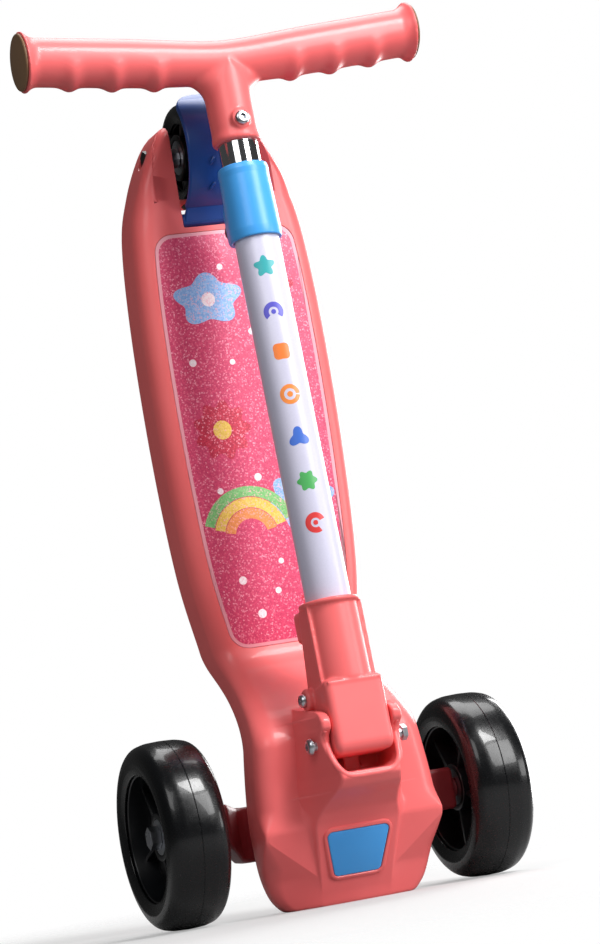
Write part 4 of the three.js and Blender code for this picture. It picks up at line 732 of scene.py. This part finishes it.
# Steering bridge, one moulding in dark red nylon behind the nose, hollow and ribbed at its back. Its
# arms reach into the wheels; its hub turns on the kingpin and holds a rubber bush that centres it.
bridge_end, bridge_wall = 83, 3.4
bridge_table = np.array([
    # x, y front, y back, z foot, z head
    [0, 2.6, 19.6, 33, 67], [52, 2.6, 19.6, 33, 67], [57, 0.2, 19.6, 34, 67.4],
    [65.6, -10.6, 13.5, 42.5, 70.5], [68, -11, 11, 44.5, 70.5], [82.2, -11, 11, 44.8, 70.5],
    [bridge_end, -10.2, 10.2, 45.6, 69.7],
])


def bridge_sheet():
    """The beam's section, a channel open at the back and solid towards the arm ends, carried along X."""
    arm = np.linspace(bridge_end, 52, 32)
    x = np.concatenate([-arm, np.linspace(-48, 48, 25), arm[::-1]])
    low, high, foot, head = (softened(np.abs(x), bridge_table[:, [0, k]], 1.0) for k in (1, 2, 3, 4))
    depth = np.where(np.abs(x) < 55, low + bridge_wall, high)
    corners = np.stack([np.stack(pair, -1) for pair in [
        (high, foot), (low, foot), (low, head), (high, head), (high, head - bridge_wall),
        (depth, head - bridge_wall), (depth, foot + bridge_wall), (high, foot + bridge_wall)]], 1)
    ring = rounded(corners, [1, 3, 3, 1, 0.6, 1.5, 1.5, 0.6], 5)
    ring = np.concatenate([ring, ring[:, :1]], 1)
    return np.concatenate([np.broadcast_to(x[:, None, None], ring.shape[:2] + (1,)), ring], -1)


bridge_sheets = [placed(bridge_sheet())]
for x in (-56, -29, 29, 56):
    bridge_sheets.append(placed(rounded_box((x - 1.3, x + 1.3), (4, 18.4), (34.5, 65.5), 0.4, 3)))
for x in (-37.5, 37.5):
    bridge_sheets.append(placed(rounded_box((x - 19.6, x + 19.6), (4, 16.6), (50.8, 53.2), 0.4, 3)))
bridge_sheets.append(placed(hoop("y", 13.7, 18.5, 2, 26, 0.8, 72), (0, 0, 52), tilt))
for side in (-1, 1):
    spigot = np.array([[66, 0], [66, 10.9], [82.8, 10.9], [82.8, 6.4], [87, 6.4], [87, 0]]) * [side, 1]
    spigot = rounded(spigot, 0.7, 4, closed=False)
    bridge_sheets.append(placed(turned("x", spigot, 48), (0, 0, wheel_radius)))
bridge = skin("bridge", bridge_sheets)
# Glass fibre in the nylon dulls its gloss to a satin
bridge_red = moulded("glass filled nylon, dark red, satin moulding", "#8c2c31", "#7a242a", 0.42)
dress(bridge, bridge_red, "bridge", "steering_bridge")

# Stem base, one coral moulding: the knuckle that folds in the head's pocket, and the socket for the
# tube. All its lengths are in the stem's own frame, whose origin is the folding bolt.
stem_at, stem_turn = (0, pivot_y, pivot_z), -4.57
pin_at = (0, 12, 29)


def stem_skin(name, sheets):
    """One mesh from sheets whose points are given in the stem's own frame."""
    return skin(name, [placed(sheet, stem_at, stem_turn) for sheet in sheets])


def fused(piece, voxel, passes):
    """Melts overlapping forms into one skin, as one moulding has: a voxel remesh, then smoothing."""
    melt = piece.modifiers.new("melt", "REMESH")
    melt.mode, melt.voxel_size, melt.use_smooth_shade = "VOXEL", voxel / 1000, True
    soften = piece.modifiers.new("soften", "SMOOTH")
    soften.factor, soften.iterations = 0.5, passes


knuckle = rounded([[-16.5, -9], [-16.5, 34], [-13, 37], [14, 35], [14, -9]], [7, 2.5, 3, 3, 7], 8)
stem_sheets = [
    slab(knuckle, -18.6, 18.6, 4.2, "x", 8),
    rod("x", -17, 17.4, 1.5, 1.2, 5, 24, (0, -15.4, 34)),
    turned("z", rounded([[30, 0], [30, 14], [36, 17.1], [83, 16.6], [83, 0]], 1, 4, closed=False), 96),
    rod("z", 82, 85, 18.9, 1.2, 5, 96),
]
plate_line = rounded([[-6, 30], [-7.5, 82], [10, 82], [19.6, 33], [14, 26]], 1.5, 5)
for side in (-1, 1):
    low, high = sorted((side * 5.6, side * 17.4))
    stem_sheets.append(slab(plate_line, low, high, 0.8, "x"))
    stem_sheets.append(rod("x", side * 10, side * 23.2, 7, 1.6, 6, centre=pin_at))
    stem_sheets.append(rod("z", 34, 82, 1.1, 0.9, 4, 20, (side * 16.9, -6.6, 0)))
stem_piece = stem_skin("stem_socket", stem_sheets)
fused(stem_piece, voxel=0.7, passes=5)
dress(stem_piece, coral, "stem", "stem_base")

# Release lever, one coral moulding on a pin through the knuckle: a thumb pad behind the socket, and a
# tongue under the pin that catches in the head.
pad_line = [[12, 26], [17, 27], [23.4, 41], [23.4, 80], [19.4, 80], [19.4, 42], [14, 34], [12, 34]]
tongue_line = [[12.3, 29], [12.3, 2], [15.5, -17], [17.2, -17], [16, 2], [16, 29]]
lever_piece = stem_skin("lever_pad", [
    rounded_box((-13, 13), (19.4, 33.4), (65, 84.6), 3.4, 7),
    slab(rounded(pad_line, 1.2, 4), -5, 5, 0.8, "x"),
    rod("x", -5, 5, 5, 0.6, 4, centre=pin_at),
    slab(rounded(tongue_line, 0.8, 4), -5, 5, 0.6, "x"),
])
fused(lever_piece, voxel=0.6, passes=4)
dress(lever_piece, coral, "lever", "release_lever")

# Outer tube, steel with a pale lilac powder coat, pushed into the socket. A row of plain vinyl shapes
# is stuck on its front.
tube_radius = 13.85
# Powder coat melts into a smooth film with a faint orange peel, which breaks the highlight's edge
lilac, shader = new_material("powder coat on steel, pale lilac")
place = add_node(lilac, "ShaderNodeTexCoord").outputs["Object"]
peel = add_node(lilac, "ShaderNodeTexNoise", {"Scale": 900.0, "Detail": 2.0}, {"Vector": place})
bump = add_node(lilac, "ShaderNodeBump", {"Strength": 0.2, "Distance": 0.00003},
                {"Height": peel.outputs["Fac"]})
join(lilac, bump.outputs["Normal"], shader.inputs["Normal"])
tone = add_node(lilac, "ShaderNodeValToRGB", links={"Fac": peel.outputs["Fac"]})
tone.color_ramp.elements[0].color, tone.color_ramp.elements[1].color = linear("#c6c4d8"), linear("#d0cee2")
join(lilac, tone.outputs["Color"], shader.inputs["Base Color"])
shader.inputs["Roughness"].default_value = 0.3


def wrapped(sheet, radius, middle):
    """Lays a flat sheet round the tube: X becomes the way round it, Y the depth, middle in degrees."""
    angle = sheet[..., 0] / radius + np.radians(middle)
    reach = radius - sheet[..., 1]
    return np.stack([reach * np.sin(angle), -reach * np.cos(angle), sheet[..., 2]], -1)


outer_tube = stem_skin("outer_tube", [hoop("z", 12.8, tube_radius, 38.3, 354.7, 0.4, 128)])
dress(outer_tube, lilac, "stem", "stem_tube")
tube_motifs = [
    ("teal", "#38a9ae", [lobed((0, 292), 5.6, 0.22, 5, np.pi / 2)]),
    ("violet", "#5b58c4", [bow((0, 263), 4.6, 3.2, -40, 220), lobed((0, 263), 1.5, 0, 1)]),
    ("orange", "#ee7d36", [lobed((0, 238), 5.4, 0.1, 4, np.pi / 4)]),
    ("amber", "#f08a3e", [bow((0, 211), 4.9, 2.6, 0, 350), lobed((0, 211), 1.8, 0, 1)]),
    ("blue", "#3f6cc8", [lobed((0, 184), 5.2, 0.3, 3, np.pi / 2)]),
    ("green", "#4aa75a", [lobed((0, 157), 5.6, 0.16, 6)]),
    ("red", "#d83a3a", [bow((0, 131), 4.6, 3.4, 20, 300), lobed((0, 131), 1.5, 0, 1)]),
]
for name, colour, lines in tube_motifs:
    sheets = [wrapped(line * [1, 0.04, 1], tube_radius + 0.02, -14) for line in lines]
    vinyl = moulded(f"vinyl print, {name}", colour, colour, 0.35)
    dress(stem_skin(f"tube_print_{name}", sheets), vinyl, "stem", "stem_tube")

# Inner tube, chromed steel, which slides in the outer one and carries the handlebar; the holes drilled
# in its back set the height.
hole_pitch, hole_count = 30, 7
inner_tube = stem_skin("chrome_tube", [hoop("z", 11.3, 12.5, 115, 410, 0.4, 128)])
hole_line = [[4, 0], [4, 2.9], [20, 2.9], [20, 0]]
holes = [turned("y", hole_line, 24, (0, 0, 328 - hole_pitch * i)) for i in range(hole_count)]
boolean_cut(inner_tube, stem_skin("cutter", holes))


def bright_metal(name, colour, scale, smoothest, dullest):
    """Bright metal whose gloss clouds a little from spot to spot, as plating and handling leave it."""
    material, shader = new_material(name)
    place = add_node(material, "ShaderNodeTexCoord").outputs["Object"]
    cloud = add_node(material, "ShaderNodeTexNoise", {"Scale": scale, "Detail": 3.0}, {"Vector": place})
    gloss = add_node(material, "ShaderNodeMapRange", {"To Min": smoothest, "To Max": dullest},
                     {"Value": cloud.outputs["Fac"]})
    join(material, gloss.outputs["Result"], shader.inputs["Roughness"])
    shader.inputs["Base Color"].default_value = linear(colour)
    shader.inputs["Metallic"].default_value = 1.0
    return material


# Polished chrome plating: nearly a mirror, so it shows the white surround and the parts beside it
chrome = bright_metal("chromed steel, polished", "#d8dade", 60.0, 0.05, 0.12)
dress(inner_tube, chrome, "handlebar", "inner_tube")

# Collar on the outer tube's end, one sky blue moulding pushed over it, with a lobe behind that houses
# the pin of the height lock.
collar_line = rounded([
    [312, 14.2], [312, 16], [318, 16.4], [352, 15.6], [355.5, 15.9], [359, 15.4], [359, 12.8], [355, 12.8],
    [355, 14.2],
], [0.6, 1.2, 6, 3, 1.5, 1, 0.4, 0.4, 0.3], 5)
lobe_line = rounded([[2, 312.4], [27.6, 315.4], [27.6, 338], [14, 355], [2, 355]], [2, 5, 5, 6, 2], 7)
collar_sheets = [turned("z", looped(collar_line), 128), slab(lobe_line, -9, 9, 2.6, "x", 6)]
dress(stem_skin("tube_collar", collar_sheets), sky, "stem", "collar")

# Handlebar, one coral moulding: two arms with finger bumps and flared ends, and a neck that is pushed
# on the inner tube and held by a cross screw. A nylon cap is pressed into each end.
bar_height, bar_half, bar_rise, bar_bend = 427.5, 127.5, 10.5, 16
bump_start, bump_pitch, bump_count = 28.4, 27, 3
neck_radius, screw_height = 14.8, 386


def arm_sheet():
    """The arms' section, nearly a circle, carried along X. Its centre rises along a hyperbola, a V with
    a soft bend; its ends open like a trumpet, and three bell-shaped bumps stand out under each grip."""
    flare_at = np.array([0, 0.2, 0.6, 1.0, 1.6, 2.4, 3.4, 4.6, 6.2, 8.0])
    flare = [18.6, 19, 19.1, 19.1, 18.7, 17.8, 17, 16.2, 15.5, 15.1]
    ends = bar_half - flare_at
    x = np.concatenate([-ends, np.linspace(-118, 118, 237), ends[::-1]])
    angle = np.linspace(0, 2 * np.pi, 73)
    from_end = bar_half - np.abs(x)
    grown = 13.8 + 1.3 * smooth_step(0, 63, np.abs(x))
    grown = np.where(from_end < 8.5, np.maximum(np.interp(from_end, flare_at, flare), grown), grown)
    bump = sum(np.exp(-((from_end - bump_start - bump_pitch * i) / 4.6) ** 2) for i in range(bump_count))
    under = np.maximum(-np.sin(angle), 0) ** 1.3
    radius = grown[:, None] + 3.0 * bump[:, None] * under[None]
    rise = bar_rise * (np.hypot(x, bar_bend) - bar_bend) / (np.hypot(bar_half, bar_bend) - bar_bend)
    y = radius * np.cos(angle)
    z = bar_height + rise[:, None] + radius * np.sin(angle)
    return np.stack([np.broadcast_to(x[:, None], y.shape), y, z], -1)


def neck_sheet():
    """The neck's section carried up Z. Towards the arms each point follows a quarter circle out in X and
    up to the arms' underside, which lies higher at the sides than in the middle, as a fillet does."""
    angle = np.linspace(0, 2 * np.pi, 73)
    across = np.abs(np.cos(angle))
    low = np.concatenate([[374, 374.2, 374.8, 375.8], np.linspace(378, 394, 9)])
    edge = np.concatenate([[1.6, 0.9, 0.3], np.zeros(10)])
    radius = neck_radius - edge + 0.8 * np.exp(-((low - 376.5) / 2.6) ** 2)
    turn = np.linspace(0, np.pi / 2, 15)[:, None]
    top, reach = bar_height + 0.4 - 12.4 * across, 4 + 10 * across
    flat = 0 * angle
    rim, inside = radius[:, None] + flat, [flat + 9, flat + 2]
    above = [top * 0 + bar_height + 2] * 2
    up = np.concatenate([low[:, None] + flat, top - reach + reach * np.sin(turn), above])
    out = np.concatenate([rim, neck_radius + 14 * (1 - np.cos(turn)) + flat, inside])
    deep = np.concatenate([rim, neck_radius - 1.4 * np.sin(turn) + flat, inside])
    return np.stack([out * np.cos(angle), deep * np.sin(angle), up], -1)


screw_boss = rod("y", -16.6, 16.6, 6.2, 0.8, 5, centre=(0, 0, screw_height))
bar = stem_skin("t_handle", [arm_sheet(), neck_sheet(), screw_boss])
fused(bar, voxel=0.8, passes=12)
dress(bar, coral, "handlebar", "t_bar")
# Nylon from a sparked mould, dull enough to show hardly any highlight
brown = moulded("nylon end cap, olive brown moulding", "#8a6a4c", "#775a3f", 0.5)
cap_line = np.array([[118.5, 0], [118.5, 11.4], [127.6, 11.4], [127.6, 17.8], [129.2, 17.4], [130.2, 0]])
for name, side in (("left", -1), ("right", 1)):
    line = rounded(cap_line * [side, 1], [0, 0.5, 0.2, 0.7, 2.4, 0], 6, closed=False)
    cap = stem_skin(f"cap_{name}", [turned("x", line, 72, (0, 0, bar_height + bar_rise))])
    dress(cap, brown, "handlebar", f"end_cap_{name}")

# Button head screws with a hexagon socket pressed in their heads: one through the handlebar's neck,
# one as the lever's pin and one as the folding bolt. Zinc plated steel, which clouds as it is handled.
zinc = bright_metal("zinc plated steel, bright", "#c9ccd2", 260.0, 0.22, 0.38)


def button_head(radius, height, key, axis, seat, centre, shaft, tip):
    """A domed head whose rows are circles outside and hexagons inside: the radius of a hexagon at an
    angle is its half width over the cosine of the angle from the nearest flat. It stands on seat and
    faces away from tip, where its shaft ends."""
    out = np.sign(seat - tip)
    angle = np.linspace(0, 2 * np.pi, 73)
    hexagon = key / np.cos((angle % (np.pi / 3)) - np.pi / 6)
    turn = np.linspace(0, 1, 7) * np.pi / 2
    dome = zip(seat + out * height * np.sin(turn), radius - (radius - key * 1.35) * (1 - np.cos(turn)))
    bed = seat + out * (height - key)
    rows = [(tip, 0, False), (tip, shaft, False), (seat, shaft, False)]
    rows += [(place, size, False) for place, size in dome]
    rows += [(seat + out * height, key, True), (bed, key * 0.98, True), (bed, 0, False)]
    radii = np.stack([
        hexagon * (size / key) if six_sided else np.full_like(angle, size) for _, size, six_sided in rows])
    along = np.broadcast_to(np.array([row[0] for row in rows])[:, None], radii.shape)
    u, v = radii * np.cos(angle), radii * np.sin(angle)
    order = {"x": (along, u, v), "y": (v, along, u)}[axis]
    return np.stack(order, -1) + np.array(centre)


screws = [
    ("neck_button", "neck_screw", "handlebar", stem_turn,
     button_head(4.5, 1.9, 2.0, "y", -17.1, (0, 0, screw_height), 2.4, 20.6)),
    ("lever_button", "lever_pin", "stem", stem_turn,
     button_head(4.2, 2.8, 1.9, "x", -23.5, pin_at, 2.4, 23.2)),
    ("fold_button", "fold_bolt", "deck", 0,
     button_head(4.9, 2.9, 2.1, "x", -28.8, (0, 0, 0), 3.0, 31.8)),
]
for name, node, body, turn, sheet in screws:
    dress(skin(name, [placed(sheet, stem_at, turn)]), zinc, body, node)

# Nuts, axle bolts, spacers, bearings, pins and springs keep their imported shapes, with the edges of their
# faces broken and their own finishes: dull rubber, and on the rear axle bolt and nut a dark satin steel,
# which is painted shade standing for the shade of the tail's pockets where they sit.
rubber = moulded("rubber bush, black, dull", "#1a1a1c", "#141416", 0.75)
# Dark satin steel as painted shade, for the rear axle's bolt and nut in their pockets
pocket_shade_steel = moulded("dark satin steel, painted pocket shade", "#242426", "#1b1b1d", 0.45)
finishes = {"bright_steel": zinc, "bush_rubber": rubber, "brown_nylon": brown, "hub_black": black_hub}
slots = {part["node"]: part["material_slot"] for part in frame["record"]["subparts"]}
replaced = {"neck_screw", "lever_pin", "fold_bolt"}
for node, piece in frame["nodes"].items():
    if slots.get(node) in finishes:
        piece.data.materials.clear()
        # The rear axle's bolt and nut take the dark steel as painted shade of their pockets
        piece.data.materials.append(pocket_shade_steel if node.startswith("rear_axle") else finishes[slots[node]])
        if node not in replaced and not node.endswith("spring"):
            broken = piece.modifiers.new("broken edges", "BEVEL")
            broken.width, broken.segments, broken.limit_method = 0.0004, 2, "ANGLE"

# Floor and light: matt paper that glows white for the camera and fades into the white surround. A
# large key lamp stands in front on the right, with a low one beside it, a small one high in front and
# a weak one at the upper left; softboxes at the right behind and overhead lift the edges.
floor_mesh = bpy.data.meshes.new("floor")
side = 1.3
floor_corners = [(-side, -side, 0), (side, -side, 0), (side, side, 0), (-side, side, 0)]
floor_mesh.from_pydata(floor_corners, [], [(0, 1, 2, 3)])
floor = bpy.data.objects.new("floor", floor_mesh)
bpy.context.scene.collection.objects.link(floor)
paper, shader = new_material("white paper sweep")
shader.inputs["Base Color"].default_value = (0.3, 0.3, 0.3, 1)
shader.inputs["Roughness"].default_value = 0.9
shader.inputs["Emission Color"].default_value = (0.36, 0.36, 0.36, 1)
rays = add_node(paper, "ShaderNodeLightPath")
join(paper, rays.outputs["Is Camera Ray"], shader.inputs["Emission Strength"])
place = add_node(paper, "ShaderNodeTexCoord").outputs["Object"]
away = add_node(paper, "ShaderNodeVectorMath", links={0: place}, operation="LENGTH").outputs["Value"]
fade_range = {"From Min": 0.22, "From Max": 0.75, "To Min": 1.0, "To Max": 0.0}
fade = add_node(paper, "ShaderNodeMapRange", fade_range, {"Value": away}, interpolation_type="SMOOTHSTEP")
join(paper, fade.outputs["Result"], shader.inputs["Alpha"])
floor.data.materials.append(paper)

world = bpy.data.worlds.new("white surround")
bpy.context.scene.world = world
world.use_nodes = True
# The camera sees plain white; the object is lit by a fifth of it, and its gloss mirrors still less
rays = add_node(world, "ShaderNodeLightPath").outputs
seen = add_node(world, "ShaderNodeMath", links={0: rays["Is Camera Ray"], 1: rays["Is Transmission Ray"]},
                operation="MAXIMUM")
strength = add_node(world, "ShaderNodeMapRange", {"To Min": 0.2, "To Max": 1.0}, {"Value": seen.outputs[0]})
dimmed = add_node(world, "ShaderNodeMath", {1: -0.14},
                  {0: rays["Is Glossy Ray"], 2: strength.outputs["Result"]}, operation="MULTIPLY_ADD")
background = world.node_tree.nodes["Background"]
background.inputs["Color"].default_value = (1, 1, 1, 1)
join(world, dimmed.outputs[0], background.inputs["Strength"])


def soft_lamp(name, place, target, size, watts):
    """A rectangular softbox at place that faces target."""
    data = bpy.data.lights.new(name, "AREA")
    data.shape, data.size, data.size_y, data.energy = "RECTANGLE", size[0], size[1], watts
    lamp = bpy.data.objects.new(name, data)
    bpy.context.scene.collection.objects.link(lamp)
    lamp.location = place
    lamp.rotation_euler = (Vector(target) - Vector(place)).to_track_quat("-Z", "Y").to_euler()


soft_lamp("key", (1.0, -1.58, 1.1), (0, 0, 0.3), (0.8, 1.0), 26)
soft_lamp("upper left", (-0.9, -1.3, 1.4), (0, 0, 0.46), (0.9, 0.9), 9)
soft_lamp("low key", (1.6, -1.0, 0.3), (0, 0, 0.2), (0.6, 0.5), 6)
soft_lamp("high front", (0.6, -1.1, 1.75), (0, 0, 0.3), (0.45, 0.6), 27)
soft_lamp("right behind", (1.25, 0.85, 0.5), (0, 0, 0.3), (0.7, 1.2), 28)
soft_lamp("overhead", (0.45, 0.55, 1.7), (0, 0, 0.2), (1.1, 0.9), 15)
